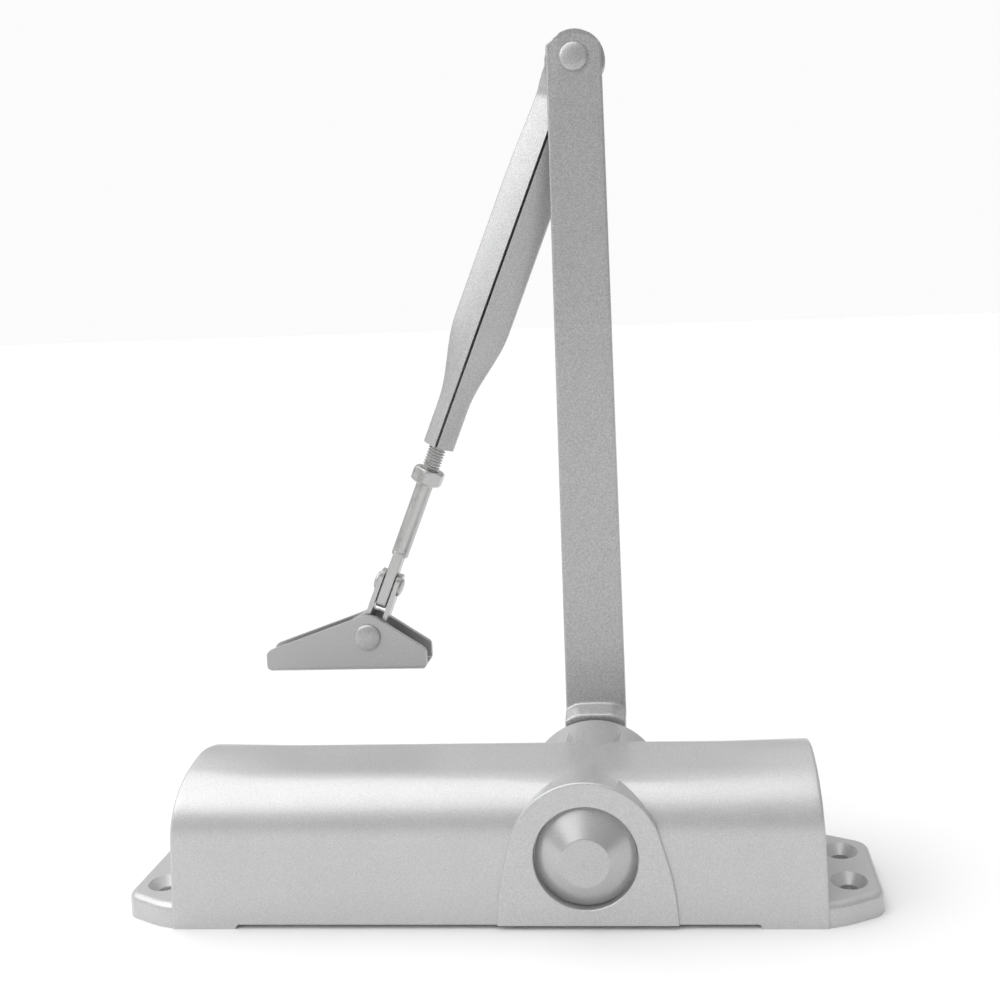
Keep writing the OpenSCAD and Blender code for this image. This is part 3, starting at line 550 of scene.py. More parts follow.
def moulded(name, base):
    """Plain moulded plastic with a fine spark-eroded surface."""
    material, tree, shader, place_at = finish_nodes(name, base, 0.0, 0.5)
    grain = noise(tree, place_at, 0.18, 2.0)
    shade(tree, shader, base, spread(tree, grain, 0.9, 1.1))
    dull(tree, shader, grain, 0.42, 0.58)
    bumps(tree, shader, (grain, 0.004))
    return material


FINISH = {}                     # the finishes by their slot, made once


def make_finishes(look):
    """Makes one material for each slot of the record."""
    lengthwise = (1.0, 1.0, 0.08)
    FINISH.update({
        "silver_paint": lacquer("silver_paint", look.housing[:]),
        "silver_arm": lacquer("silver_arm", look.arm[:], 0.42, 0.6, 0.3, 0.24),
        "silver_cap": lacquer("silver_cap", look.cap[:], 0.3, 0.6, 0.04, 0.02, 0.0001),
        "plated_rod": plated("plated_rod", look.plating[:], 0.34, lengthwise, 0.002),
        "plated_steel": plated("plated_steel", look.plating[:], 0.32),
        "bearing_steel": plated("bearing_steel", (0.50, 0.50, 0.51), 0.22, (0.2, 1.0, 0.2)),
        "spring_steel": plated("spring_steel", (0.16, 0.16, 0.17), 0.35, (1.0, 0.15, 0.15)),
        "valve_brass": plated("valve_brass", (0.72, 0.52, 0.24), 0.28, (0.15, 1.0, 1.0)),
        "cast_piston": cast_iron("cast_piston", (0.32, 0.32, 0.33)),
        "seal_rubber": rubber("seal_rubber", (0.02, 0.02, 0.022)),
        "washer_plastic": moulded("washer_plastic", (0.72, 0.72, 0.70)),
    })


# ---- housing

def arched_casting(s):
    """The arched body: a rounded section drawn out, raised at its ends and leaning inwards."""
    side, half, top = s.body_width / 2, s.body_length / 2, s.body_height
    bm = outline([(-side, -SPARE), (side, -SPARE), (side, top), (-side, top)], "YZ")
    round_corners(bm, s.shoulder, 16, lambda p: p.z > top / 2)
    extrude(bm, (s.body_length, 0, 0))
    slide(bm, x=-half)
    start = half - s.rise_length
    steps = [start + s.rise_length * k / 8 for k in range(8)]
    cut_across(bm, [-x for x in steps] + steps + [-30, 0, 30], "X")
    cut_across(bm, [2.5 * k for k in range(-3, 4)], "Y")
    for v in bm.verts:
        share = (abs(v.co.x) - start) / s.rise_length
        if v.co.z > top - s.shoulder - 0.01:
            v.co.z += s.end_rise * smooth_step(share) * math.exp(-(v.co.y / s.crown) ** 2)
        if share > 0.999:
            v.co.x -= math.copysign(v.co.z * math.tan(s.end_lean), v.co.x)
    soften(bm, 1.0, 3, 50, lambda e: all(abs(v.co.x) > half - 3 for v in e.verts))
    return bm


def lug_plate(s):
    """The foot plate that carries the four fixing holes."""
    half, side = s.body_length / 2 + 1, s.body_width / 2 - 0.02
    end, lug_round, body_round = BODY_HIGH.x, 5.6, 26
    bm = outline([(-half, -side), (half, -side), (end, -s.lug_corner), (end, s.lug_corner),
                  (half, side), (-half, side), (-end, s.lug_corner), (-end, -s.lug_corner)], "XY")
    round_corners(bm, lug_round, 6, lambda p: abs(p.x) > end - 0.1)
    round_corners(bm, body_round, 6, lambda p: abs(abs(p.x) - half) < 0.1)
    extrude(bm, (0, 0, s.lug_height + 2 * SPARE))
    slide(bm, z=-2 * SPARE)
    return soften(bm, s.lug_edge, 5, 60,
                  lambda e: all(v.co.z > s.lug_height - 0.1 for v in e.verts))


def boss_solid(s, front, back):
    """The boss: round above, spreading to its foot, drafted from both faces to the middle."""
    radius, spread_by = s.boss / 2, s.apron
    arc = [(radius * math.cos(a), PINION.z + radius * math.sin(a))
           for a in (math.radians(12 + 156 * k / 52) for k in range(53))]
    flare = ((1, -4 * SPARE), (1, 0), (0.93, 5), (0.82, 10), (0.60, 15), (0.26, 20.5))
    right = [(radius + spread_by * k, z) for k, z in flare]
    left = [(-x, z) for x, z in reversed(right)]
    sections = []
    for y, k in ((front, 1), (-1, s.front_draft), (1, s.back_draft), (back, 1)):
        sections.append([(PINION.x + x * k, y, min(z, PINION.z) + max(0, z - PINION.z) * k)
                         for x, z in right + arc + left])
    return loft(sections)


def housing_bores(s):
    """Every bore, seat, hole and relief of the casting, as closed cutters."""
    reach = BODY_HIGH.x
    front = corners("spindle_cap")[1].y
    lip, above, bearing_gap, valve_gap = 0.2, 9, 0.03, 0.06
    cylinder = bar(s.cylinder / 2, 2 * reach, "+X", (-reach, 0, PINION.z))
    seat = turned([(0, 0), (s.cap_seat / 2, 0), (s.cap_seat / 2, s.seat_depth - lip),
                   (s.cap_seat / 2 + lip, s.seat_depth), (s.cap_seat / 2 + lip, above), (0, above)])
    slide(place(seat, facing("-Y")), PINION.x, front, PINION.z)
    low, high = corners("rear_bearing")
    spindle = bar((high.x - low.x) / 2 + bearing_gap, 80, "+Y", (PINION.x, front - 1, PINION.z))
    cutters = [cylinder, seat, spindle]
    hole, sunk, foot = s.hole / 2, s.countersink / 2, s.lug_height
    for x in (-1, 1):
        for y in (-1, 1):
            drill = turned([(0, -2 * SPARE), (hole, -2 * SPARE), (hole, foot - (sunk - hole)),
                            (sunk, foot), (sunk, above), (0, above)], steps=48)
            cutters.append(slide(drill, x * s.hole_spread / 2, y * s.hole_pair / 2))
    for node in ("speed_valve", "latch_valve"):
        low, high = corners(node)
        cutters.append(bar((high.y - low.y) / 2 + valve_gap, 40, "+X",
                           (low.x - 6, (low.y + high.y) / 2, (low.z + high.z) / 2), steps=32))
    relief_half, slant = s.body_length / 2 - s.pad_length, 1.2
    relief = outline([(-relief_half, -1), (relief_half, -1), (relief_half - slant, s.pad_height),
                      (-relief_half + slant, s.pad_height)], "XZ")
    round_corners(relief, 0.8, 4, lambda p: p.z > 0)
    relief = slide(extrude(relief, (0, 80, 0)), 0, -40, 0)
    return cutters + [block(300, 300, 300, (0, 0, -150)), relief]


class CLOSER_OT_housing(bpy.types.Operator):
    """Builds the arched casting with its boss, lugs, bores and fixing holes"""
    bl_idname = "closer.housing"
    bl_label = "Housing"

    def execute(self, context):
        s = millimetres(context.scene.closer_housing)
        boss = boss_solid(s, corners("spindle_cap")[1].y - s.seat_depth, BODY_HIGH.y)
        soften(boss, 0.7, 3, 60, lambda e: abs(e.verts[0].co.y - e.verts[1].co.y) < 0.01
               and any(v.co.z > 0.1 for v in e.verts))
        bm = combine(arched_casting(s), [boss, lug_plate(s)], "UNION")
        bm = combine(bm, housing_bores(s), "DIFFERENCE")
        reach = s.boss / 2 + s.apron + 1
        run_in = [e for e in bm.edges if len(e.link_faces) == 2 and not e.is_convex
                  and e.calc_face_angle(0) > math.radians(12)
                  and all(abs(v.co.x - PINION.x) < reach and v.co.y < -15 and v.co.z > 0.5
                          and (v.co - PINION).length > s.cap_seat / 2 + 3 for v in e.verts)]
        hole = Vector((s.hole_spread, s.hole_pair)) / 2
        soften(bm, 0.7, 3, 60, lambda e: all(
            v.co.z < 0.01 and abs(v.co.x) > s.body_length / 2
            and (Vector((abs(v.co.x), abs(v.co.y))) - hole).length > s.hole for v in e.verts))
        bevel(bm, [e for e in run_in if e.is_valid], s.fillet, 3)
        finish_piece(bm, "housing_casting", "housing", ["body_housing"], "silver_paint")
        return {"FINISHED"}


class CLOSER_OT_cap(bpy.types.Operator):
    """Builds the conical cap over the unused end of the spindle"""
    bl_idname = "closer.cap"
    bl_label = "Spindle cap"

    def execute(self, context):
        s = millimetres(context.scene.closer_cap)
        radius, flat, top = s.diameter / 2, s.flat / 2, s.rim + s.cone
        bm = turned([
            (radius - s.wall, 0), (radius - 0.2, 0), (radius, 0.15), (radius, s.rim - 0.1),
            (radius - 0.12, s.rim + 0.12), (flat + 0.25, top - 0.14), (flat - 0.2, top - 0.01),
            (1.6, top), (0.8, top - s.dimple * 0.3), (0, top - s.dimple), (0, top - s.wall),
            (flat - s.wall / 2, top - s.wall), (radius - s.wall, s.rim - s.wall / 2)],
            closed=True, steps=128)
        slide(place(bm, facing("-Y")), PINION.x, corners("spindle_cap")[1].y, PINION.z)
        finish_piece(bm, "spindle_cap_pressing", "housing", ["spindle_cap"], "silver_cap", sharp=20)
        return {"FINISHED"}


# ---- arms

class CLOSER_OT_main_arm(bpy.types.Operator):
    """Builds the flat main arm with its stepped bend, its hub and its square hole"""
    bl_idname = "closer.main_arm"
    bl_label = "Main arm"

    def execute(self, context):
        s = millimetres(context.scene.closer_arm)
        low, high = corners("main_arm")
        hub, arm, back = low.y, low.y + s.step, high.y
        tip = high.z - PINION.z
        half, sag = s.root_width / 2, 1.9
        behind = hub + s.thickness
        low_front, high_front, high_back, low_back = (s.bend + up for up in (-1.6, 0.6, -2.4, -7))
        bm = outline([(hub, 0), (hub, low_front), (arm, high_front), (arm, tip), (back, tip),
                      (back, high_back), (behind, low_back), (behind, 0)], "YZ")
        round_corners(bm, 1.1, 4, lambda p: 5 < p.z < tip - 5)
        extrude(bm, (s.root_width, 0, 0))
        slide(bm, x=-half)
        cut_across(bm, [-7, -5, -2.5, 0, 2.5, 5, 7], "X")
        cut_across(bm, [s.bend + up for up in (8, 60, 120, 180)], "Z")
        for v in bm.verts:
            across, up = v.co.x / half, v.co.z
            if s.bend - 9 < up < s.bend + 2:
                v.co.z -= sag * across ** 4
            if up > tip - 0.1:
                v.co.z -= s.tip_arc - math.sqrt(s.tip_arc ** 2 - (across * s.tip_width / 2) ** 2)
            taper = max(0.0, (up - s.bend) / (tip - s.bend))
            v.co.x *= 1 + (s.tip_width / s.root_width - 1) * taper
        soften(bm, s.edge, 3, 60)
        bm = combine(bm, [bar(s.hub, s.thickness, "+Y", (0, hub, 0), edge=0.6)], "UNION")
        square = block(s.square, 20, s.square, (0, hub, 0))
        rivet_hole = bar(s.rivet_hole / 2, 20, "+Y", (0, arm - 5, ELBOW.z - PINION.z))
        bm = combine(bm, [square, rivet_hole], "DIFFERENCE")
        slide(bm, PINION.x, 0, PINION.z)
        finish_piece(bm, "main_arm_bar", "spindle_arm", ["main_arm"], "silver_arm")
        return {"FINISHED"}


def fold_section(s, u):
    """Points of the forearm's section, in X and Y, at a distance below the elbow."""
    flat = 1 - smooth_step((u - s.flat_end) / (s.fold_start - s.flat_end))
    eye_y = corners("forearm")[0].y + s.eye_thickness / 2
    half_depth = s.depth / 2 + (s.eye_thickness / 2 - s.depth / 2) * flat
    y = FOLD_Y + (eye_y - FOLD_Y) * flat
    waist = s.waist / 2
    if u < 0 or u * u < s.eye ** 2 - waist ** 2:
        half = math.sqrt(max(0.0, s.eye ** 2 - u * u))
    elif u < s.taper - 25:
        half = waist + (s.fold_width / 2 - waist) * smooth_step((u - s.flat_end) / 40)
    else:
        half = s.fold_width / 2 + (s.neck_width - s.fold_width) / 2 * smooth_step(
            (u - s.taper) / (s.neck - s.taper))
    half = max(half, 1.5)
    gap = min(s.seam / 2, half / 3)
    seam_depth, shallower, shallow_from, shallow_over = 3.2, 1.6, 95, 15
    notch = seam_depth - shallower * smooth_step((u - shallow_from) / shallow_over)
    notch = notch * (1 - flat) + 0.05
    half_edge = 0.8
    edge = half_edge + (s.eye_thickness / 2 - half_edge) * flat
    bulge = 0.45 * (1 - flat)
    mid = (half + gap) / 2 + 1.0 * (1 - flat)
    slope = (half_depth - edge) / max(half - gap, 0.1)
    mid_y = half_depth - slope * (mid - gap) + bulge
    ridge = min(2.0, half / 2)
    return [(0, y - half_depth + notch), (gap, y - half_depth), (mid, y - mid_y), (half, y - edge),
            (half, y + edge), (mid, y + mid_y), (ridge, y + half_depth), (-ridge, y + half_depth),
            (-mid, y + mid_y), (-half, y + edge), (-half, y - edge), (-mid, y - mid_y),
            (-gap, y - half_depth)]


class CLOSER_OT_forearm(bpy.types.Operator):
    """Builds the folded forearm with its eye, its open seam and its mouth"""
    bl_idname = "closer.forearm"
    bl_label = "Forearm"

    def execute(self, context):
        s = millimetres(context.scene.closer_forearm)
        stations = [-s.eye * math.cos(math.radians(a)) for a in range(9, 90, 9)]
        stations += [0, 3, 5, 6, 7.5, 9, 10.5, 12, 13.5, 15, 20, 26, 32, 38, 45, 52, 60, 75, 88]
        stations += [*range(92, 124, 2), 128, s.open_end]
        bm = loft([[(x, y, -u) for x, y in fold_section(s, u)] for u in stations])
        soften(bm, 0.45, 3, 35, lambda e: abs(e.verts[0].co.x) > 1.2
               and abs((e.verts[0].co - e.verts[1].co).normalized().z) > 0.8)
        mouth = slide(disc(s.mouth / 2, 14), 0, FOLD_Y, -s.open_end - 2)
        bm = combine(bm, [mouth], "DIFFERENCE")
        place(bm, forearm_place())
        finish_piece(bm, "forearm_fold", "forearm", ["forearm"], "silver_arm", sharp=30)
        return {"FINISHED"}


# ---- rod, nut, link

def helical_thread(s, top, bottom):
    """A real thread: one pitch of its profile screwed round the rod, trimmed to its two ends."""
    depth = 0.58
    crest, root, pitch = s.thread / 2, s.thread / 2 - depth, s.pitch
    turns = math.ceil((bottom - top) / pitch) + 2
    steps = 32
    bm = bmesh.new()
    profile = [(root, 0.0), (root, 0.12), (crest, 0.44), (crest, 0.56), (root, 0.88), (root, 1.0)]
    verts = [bm.verts.new((r, 0, -top + pitch * (h + 0.5))) for r, h in profile]
    edges = [bm.edges.new(pair) for pair in zip(verts, verts[1:])]
    bmesh.ops.spin(bm, geom=verts + edges, cent=(0, 0, 0), axis=(0, 0, 1),
                   dvec=(0, 0, -pitch / steps), angle=math.tau * turns, steps=steps * turns,
                   use_merge=False)
    bmesh.ops.remove_doubles(bm, verts=bm.verts, dist=1e-3)
    for at, up in ((-top, 1), (-bottom, -1)):
        cut = bmesh.ops.bisect_plane(bm, geom=bm.verts[:] + bm.edges[:] + bm.faces[:], dist=1e-5,
                                     plane_co=(0, 0, at), plane_no=(0, 0, up), clear_outer=True)
        rim = [g for g in cut["geom_cut"] if isinstance(g, bmesh.types.BMEdge)]
        bmesh.ops.contextual_create(bm, geom=rim)
    bmesh.ops.recalc_face_normals(bm, faces=bm.faces)
    return bm


class CLOSER_OT_adjusting_rod(bpy.types.Operator):
    """Builds the adjusting rod with its cut thread, its shoulder and its flattened tongue"""
    bl_idname = "closer.adjusting_rod"
    bl_label = "Adjusting rod"

    def execute(self, context):
        s = millimetres(context.scene.closer_rod)
        inside_forearm, inside_nut, pin_hole = 16, 2, 1.86
        thread = helical_thread(s, s.nut_top - inside_forearm, s.nut_top + inside_nut)
        rod = slide(disc(s.rod / 2, s.shoulder - s.nut_top - 1.5, 0.7), z=-s.shoulder)
        start = s.shoulder - 2
        tongue = outline([(-s.tongue_width / 2, -s.tongue_end), (s.tongue_width / 2, -s.tongue_end),
                          (s.tongue_width / 2, -start), (-s.tongue_width / 2, -start)], "YZ")
        round_corners(tongue, 2.4, 6, lambda p: p.z < -start - 5)
        extrude(tongue, (s.tongue, 0, 0))
        slide(tongue, x=-s.tongue / 2)
        soften(tongue, 0.5, 3, 60)
        pin = bar(pin_hole, 12, "+X", (-6, 0, -s.pin_reach))
        tongue = combine(tongue, [pin], "DIFFERENCE")
        bm = join(thread, combine(rod, [tongue], "UNION"))
        slide(bm, y=FOLD_Y)
        place(bm, forearm_place())
        finish_piece(bm, "adjusting_rod_turned", "rod", ["adjusting_rod"], "plated_rod", sharp=45)
        return {"FINISHED"}


class CLOSER_OT_lock_nut(bpy.types.Operator):
    """Builds the chamfered hexagon lock nut"""
    bl_idname = "closer.lock_nut"
    bl_label = "Lock nut"

    def execute(self, context):
        s = millimetres(context.scene.closer_rod)
        corner = s.nut_flats / 2 / math.cos(math.pi / 6)
        bm = bmesh.new()
        bmesh.ops.create_cone(bm, cap_ends=True, segments=6, radius1=corner, radius2=corner,
                              depth=s.nut_height)
        place(bm, Matrix.Rotation(math.pi / 6, 4, "Z"))
        slide(bm, z=s.nut_height / 2)
        if abs(max(v.co.y for v in bm.verts) - corner) > 0.01:
            place(bm, Matrix.Rotation(math.pi / 6, 4, "Z"))
        flat = s.nut_flats / 2
        face, edge, top, shy = flat * 0.94, corner * 0.985, s.nut_height, 0.001
        lens = turned([(0, shy), (face, shy), (edge, 0.75), (edge, top - 0.75), (face, top - shy),
                       (0, top - shy)])
        bore, sunk, sink = 3.05, 3.5, 0.45
        bore = turned([(0, -1), (sunk, -1), (sunk, 0), (bore, sink), (bore, top - sink),
                       (sunk, top), (sunk, top + 1), (0, top + 1)], steps=64)
        bm = combine(bm, [lens], "INTERSECT")
        soften(bm, 0.25, 2, 45, lambda e: abs(e.verts[0].co.z - e.verts[1].co.z) > 1)
        bm = combine(bm, [bore], "DIFFERENCE")
        slide(bm, y=FOLD_Y, z=-s.nut_top - s.nut_height)
        place(bm, forearm_place())
        finish_piece(bm, "lock_nut_hexagon", "nut", ["lock_nut"], "plated_steel", sharp=25)
        return {"FINISHED"}


def ear(s, side):
    """One bent ear of the link, with its foot spread to the side."""
    inner, outer = s.ear_inside, s.ear_inside + s.ear_thickness
    later, out, drop = (-0.6, 4.8, 5.7) if side < 0 else (1.0, 1.8, 2.2)
    bend = s.ear_bend + later
    bm = outline([(inner, -s.ear_top), (outer, -s.ear_top), (outer, -bend),
                  (outer + out, -bend - drop), (outer + out - 1.1, -bend - drop - 1.0),
                  (inner, -s.ear_bend - 2.3)], "XZ")
    round_corners(bm, 0.6, 3, lambda p: p.z < -bend + 0.1)
    extrude(bm, (0, s.ear_width, 0))
    slide(bm, y=-s.ear_width / 2)
    upper = [e for e in bm.edges if all(v.co.z > -s.ear_top - 0.01 for v in e.verts)
             and abs(e.verts[0].co.y - e.verts[1].co.y) < 0.01]
    bevel(bm, upper, 2.2, 6, clamp=False)
    soften(bm, 0.25, 2, 50)
    if side < 0:
        place(bm, Matrix.Scale(-1, 4, (1, 0, 0)))
        bmesh.ops.recalc_face_normals(bm, faces=bm.faces)
    return bm


class CLOSER_OT_link(bpy.types.Operator):
    """Builds the forked link between the rod and the shoe"""
    bl_idname = "closer.link"
    bl_label = "Link"

    def execute(self, context):
        s = millimetres(context.scene.closer_link)
        outer = s.ear_inside + s.ear_thickness
        top = s.ear_bend + 1.4
        root = block(2 * outer - 0.4, s.ear_width - 0.1, s.pin_reach - top,
                     (0, 0, -(s.pin_reach + top) / 2))
        soften(root, 0.5, 3, 60)
        foot = bar(s.foot, s.ear_width - 0.2, "+Y", (0, -s.ear_width / 2 + 0.1, -s.pin_reach), 0.4)
        bm = combine(root, [foot, ear(s, 1), ear(s, -1)], "UNION")
        pin = bar(s.pin / 2 + 0.06, 20, "+Y", (0, -10, -s.pin_reach))
        bm = combine(bm, [pin], "DIFFERENCE")
        slide(bm, y=FOLD_Y)
        place(bm, forearm_place())
        finish_piece(bm, "link_pressing", "link", ["link_fork"], "plated_steel")
        return {"FINISHED"}


# ---- shoe and rivets

class CLOSER_OT_shoe(bpy.types.Operator):
    """Builds the folded shoe with its two sloping sides and its fixing holes"""
    bl_idname = "closer.shoe"
    bl_label = "Shoe"

    def execute(self, context):
        s = millimetres(context.scene.closer_shoe)
        low, high = corners("shoe")
        centre = (low.x + high.x) / 2
        half, height = (high.x - low.x) / 2, high.z - low.z
        peak_x = SHOE_PIN.x - centre
        depth = high.y - low.y
        outer, inner, brim = depth / 2, depth / 2 - s.sheet, height + 2
        channel = outline([(-outer, 0), (outer, 0), (outer, brim), (inner, brim), (inner, s.sheet),
                           (-inner, s.sheet), (-inner, brim), (-outer, brim)], "YZ")
        round_corners(channel, 1.5, 5, lambda p: p.z < 0.1)
        round_corners(channel, 0.5, 3,
                      lambda p: abs(p.z - s.sheet) < 0.1 and abs(p.y) < outer - 0.1)
        extrude(channel, (2 * half + 4, 0, 0))
        slide(channel, x=-half - 2)
        peak = height - s.peak
        rise = height - s.end_height
        left = math.atan2(rise, peak_x + half) + math.radians(3)
        right = math.atan2(rise, half - peak_x) + math.radians(5)
        turns = [math.pi / 2 - right + (right + left) * k / 12 for k in range(13)]
        arc = [(peak_x + s.peak * math.cos(a), peak + s.peak * math.sin(a)) for a in turns]
        side = outline([(-half, 0), (half, 0), (half, s.end_height), *arc, (-half, s.end_height)],
                       "XZ")
        round_corners(side, s.end_corner, 6, lambda p: abs(p.x) > half - 0.1)
        extrude(side, (0, depth + 4, 0))
        slide(side, y=-depth / 2 - 2)
        bm = combine(channel, [side], "INTERSECT")
        soften(bm, 0.3, 2, 60)
        holes = [slide(disc(s.hole / 2, 8, steps=48), x * s.pitch / 2, 0, -3) for x in (-1, 1)]
        bm = combine(bm, holes, "DIFFERENCE")
        slide(bm, centre, FOLD_Y, low.z)
        finish_piece(bm, "shoe_pressing", "shoe", ["shoe"], "silver_arm")
        return {"FINISHED"}


def rivet_head(radius, height):
    """Profile of a low domed head with a soft edge, from its middle out to its foot."""
    dome = [(radius * math.sin(a), height * (0.22 + 0.78 * math.cos(a) ** 0.9))
            for a in (math.radians(90 * k / 12) for k in range(12))]
    return dome + [(radius, height * 0.2), (radius - 0.05, 0)]


def rivet(shank, length_between, front, back):
    """A rivet on +Z: shank radius and length, and (radius, height) of its two heads."""
    top = [(r, length_between + h) for r, h in rivet_head(*front)]
    bottom = [(r, -h) for r, h in reversed(rivet_head(*back))]
    return turned(top + [(shank, length_between), (shank, 0)] + bottom, steps=64)


class CLOSER_OT_rivets(bpy.types.Operator):
    """Builds the elbow rivet, the shoe rivet and the link's cross rivet"""
    bl_idname = "closer.rivets"
    bl_label = "Rivets"

    def execute(self, context):
        s = millimetres(context.scene.closer_rivets)
        for name, node, body, head, slot in (
                ("elbow_rivet_domed", "elbow_rivet", "spindle_arm", s.elbow_head, "silver_arm"),
                ("shoe_rivet_domed", "shoe_rivet", "shoe", s.shoe_head, "silver_arm")):
            low, high = corners(node)
            centre = (low + high) / 2
            span = high.y - low.y - s.front_height - s.back_height
            bm = rivet(2.2, span, (head / 2, s.front_height), (head / 2, s.back_height))
            place(bm, facing("-Y"))
            slide(bm, centre.x, high.y - s.back_height, centre.z)
            finish_piece(bm, name, body, [node], slot, sharp=50)
        link = millimetres(context.scene.closer_link)
        rod = millimetres(context.scene.closer_rod)
        outer = link.ear_inside + link.ear_thickness
        head = (s.cross_head / 2, s.cross_height)
        bm = rivet(1.8, 2 * outer, head, head)
        slide(place(bm, facing("+X")), -outer, FOLD_Y, -rod.pin_reach)
        place(bm, forearm_place())
        finish_piece(bm, "cross_rivet_domed", "link", ["cross_rivet"], "plated_steel", sharp=50)
        return {"FINISHED"}


CARRIED_OVER = {
    "plated_steel": ("left_end_plug", "right_end_plug", "power_screw", "spring_seat",
                     "front_retainer", "rear_retainer", "arm_washer", "arm_screw", "ball_retainer"),
    "bearing_steel": ("front_bearing", "rear_bearing", "pinion_shaft", "check_ball"),
    "spring_steel": ("closing_spring",),
    "cast_piston": ("piston_rack",),
    "valve_brass": ("speed_valve", "latch_valve"),
    "seal_rubber": ("left_plug_ring", "right_plug_ring", "front_seal", "rear_seal",
                    "speed_valve_ring", "latch_valve_ring"),
    "washer_plastic": ("elbow_washer",),
}


class CLOSER_OT_inner_parts(bpy.types.Operator):
    """Gives the turned, wound and moulded parts their finishes"""
    bl_idname = "closer.inner_parts"
    bl_label = "Inner parts"

    def execute(self, context):
        for slot, nodes in CARRIED_OVER.items():
            for node in nodes:
                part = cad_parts[node]
                if not part.material_slots:
                    part.data.materials.append(FINISH[slot])
                for held in part.material_slots:
                    held.material = FINISH[slot]
        return {"FINISHED"}


# ---- stage

CAMERA_AT = (56.64, -346.95, 178.02)        # millimetres
CAMERA_TURN = (3.709, 3.987, -1.962)        # yaw, pitch down and roll, in degrees
LENS = 41.99
SHIFT = (-0.10, -0.11)
BACKDROP_STRENGTH = 0.97                    # as the camera sees it
SKY_STRENGTH, SKY_SPREAD = 1.8, 80          # the spread in degrees
SKY_DIRECTION = (0.5, 0.15, -0.85)


def camera_matrix():
    yaw, pitch, roll = (math.radians(a) for a in CAMERA_TURN)
    right = Vector((math.cos(yaw), math.sin(yaw), 0))
    ahead = Vector((-math.sin(yaw), math.cos(yaw), 0))
    up = Vector((0, 0, 1))
    look = math.cos(pitch) * ahead - math.sin(pitch) * up
    over = math.cos(pitch) * up + math.sin(pitch) * ahead
    side = math.cos(roll) * right + math.sin(roll) * over
    top = -math.sin(roll) * right + math.cos(roll) * over
    turn = Matrix((side, top, -look)).transposed().to_4x4()
    return Matrix.Translation(Vector(CAMERA_AT) * MM) @ turn


def studio(look):
    """A studio that is bright above and to the left, darker at eye level, with a pale backdrop."""
    world = bpy.data.worlds.new("studio")
    world.use_nodes = True
    tree = world.node_tree
    ground = tree.nodes["Background"]
    ground.inputs["Color"].default_value = (*look.backdrop, 1)
    split = tree.nodes.new("ShaderNodeSeparateXYZ")
    way = tree.nodes.new("ShaderNodeTexCoord").outputs["Generated"]
    tree.links.new(way, split.inputs["Vector"])
    above = spread(tree, split.outputs["Z"], 0.34, 0.8, -0.1, 0.9)
    across = spread(tree, split.outputs["X"], 1.15, 0.8, -1, 1)
    behind = spread(tree, split.outputs["Y"], 0.75, 1.15, -1, 1)
    camera_ray = tree.nodes.new("ShaderNodeLightPath").outputs["Is Camera Ray"]
    seen = add(tree, "ShaderNodeMix", {"Factor": camera_ray, "B": BACKDROP_STRENGTH,
                                       "A": product(tree, above, across, behind)})
    tree.links.new(seen.outputs["Result"], ground.inputs["Strength"])
    return world


def aimed(direction):
    """The turn that points a lamp in a direction."""
    return direction.to_track_quat("-Z", "Y").to_euler()


def softbox(name, at, towards, size, power):
    """A rectangular lamp, its place and aim in millimetres."""
    lamp = bpy.data.lights.new(name, "AREA")
    lamp.shape = "RECTANGLE"
    lamp.size, lamp.size_y = size[0] * MM, size[1] * MM
    lamp.energy = power
    obj = put(name, lamp)
    obj.location = Vector(at) * MM
    obj.rotation_euler = aimed(Vector(towards) - Vector(at))


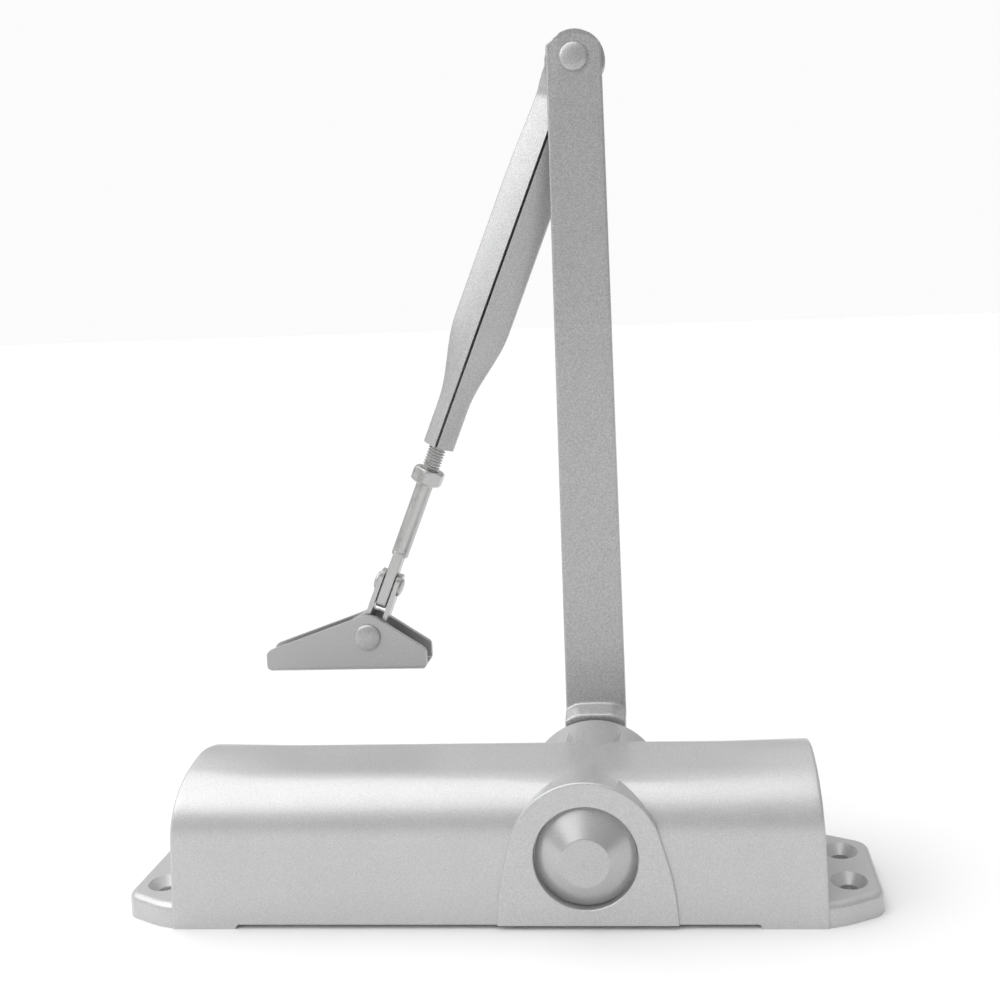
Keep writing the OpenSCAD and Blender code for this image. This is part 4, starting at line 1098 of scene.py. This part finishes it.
class CLOSER_OT_stage(bpy.types.Operator):
    """Sets the pale floor, the soft studio light and the camera"""
    bl_idname = "closer.stage"
    bl_label = "Stage"

    def execute(self, context):
        scene = context.scene
        look = scene.closer_finishes
        camera = bpy.data.cameras.new("camera")
        camera.lens, camera.sensor_width = LENS, 36.0
        camera.shift_x, camera.shift_y = SHIFT
        camera.clip_start, camera.clip_end = 0.01, 100
        scene.camera = put("camera", camera)
        scene.camera.matrix_world = camera_matrix()

        scene.world = studio(look)
        scene.view_settings.view_transform = "Standard"

        softbox("key_light", (-650, -350, 600), (0, 0, 60), (420, 420), 0.8)
        sky = bpy.data.lights.new("sky_light", "SUN")
        sky.energy, sky.angle = SKY_STRENGTH, math.radians(SKY_SPREAD)
        put("sky_light", sky).rotation_euler = aimed(Vector(SKY_DIRECTION))

        bm = bmesh.new()
        bmesh.ops.create_grid(bm, x_segments=1, y_segments=1, size=12.0)
        floor = put("floor", mesh_from(bm, "floor"))
        material, tree, shader, place_at = finish_nodes("floor", look.floor[:], 0.0, 0.7)
        clouds = noise(tree, place_at, 400, 2.0)
        shade(tree, shader, look.floor[:], spread(tree, clouds, 0.995, 1.0))
        floor.data.materials.append(material)
        return {"FINISHED"}


class CLOSER_OT_finishes(bpy.types.Operator):
    """Makes the lacquers, platings and other finishes"""
    bl_idname = "closer.finishes"
    bl_label = "Finishes"

    def execute(self, context):
        make_finishes(context.scene.closer_finishes)
        return {"FINISHED"}


class CLOSER_PT_panel(bpy.types.Panel):
    """Lists what can be built and its sizes"""
    bl_idname = "CLOSER_PT_panel"
    bl_label = "Door closer"
    bl_space_type = "VIEW_3D"
    bl_region_type = "UI"
    bl_category = "Door closer"

    def draw(self, context):
        for operator in OPERATORS:
            self.layout.operator(operator.bl_idname)
        for name in GROUPS:
            box = self.layout.box()
            box.label(text=name.replace("closer_", "").capitalize())
            group = getattr(context.scene, name)
            for key in group.__annotations__:
                box.prop(group, key)


GROUPS = {
    "closer_housing": HousingSizes, "closer_cap": CapSizes, "closer_arm": ArmSizes,
    "closer_forearm": ForearmSizes, "closer_rod": RodSizes, "closer_link": LinkSizes,
    "closer_shoe": ShoeSizes, "closer_rivets": RivetSizes, "closer_finishes": Finishes,
}
OPERATORS = (
    CLOSER_OT_finishes, CLOSER_OT_stage, CLOSER_OT_housing, CLOSER_OT_cap, CLOSER_OT_main_arm,
    CLOSER_OT_forearm, CLOSER_OT_adjusting_rod, CLOSER_OT_lock_nut, CLOSER_OT_link, CLOSER_OT_shoe,
    CLOSER_OT_rivets, CLOSER_OT_inner_parts,
)


def register():
    for cls in (*GROUPS.values(), *OPERATORS, CLOSER_PT_panel):
        bpy.utils.register_class(cls)
    for name, group in GROUPS.items():
        setattr(bpy.types.Scene, name, bpy.props.PointerProperty(type=group))


def unregister():
    for name in GROUPS:
        delattr(bpy.types.Scene, name)
    for cls in reversed((*GROUPS.values(), *OPERATORS, CLOSER_PT_panel)):
        bpy.utils.unregister_class(cls)


def main():
    register()
    for operator in OPERATORS:
        family, name = operator.bl_idname.split(".")
        getattr(getattr(bpy.ops, family), name)()


if __name__ == "__main__":
    main()
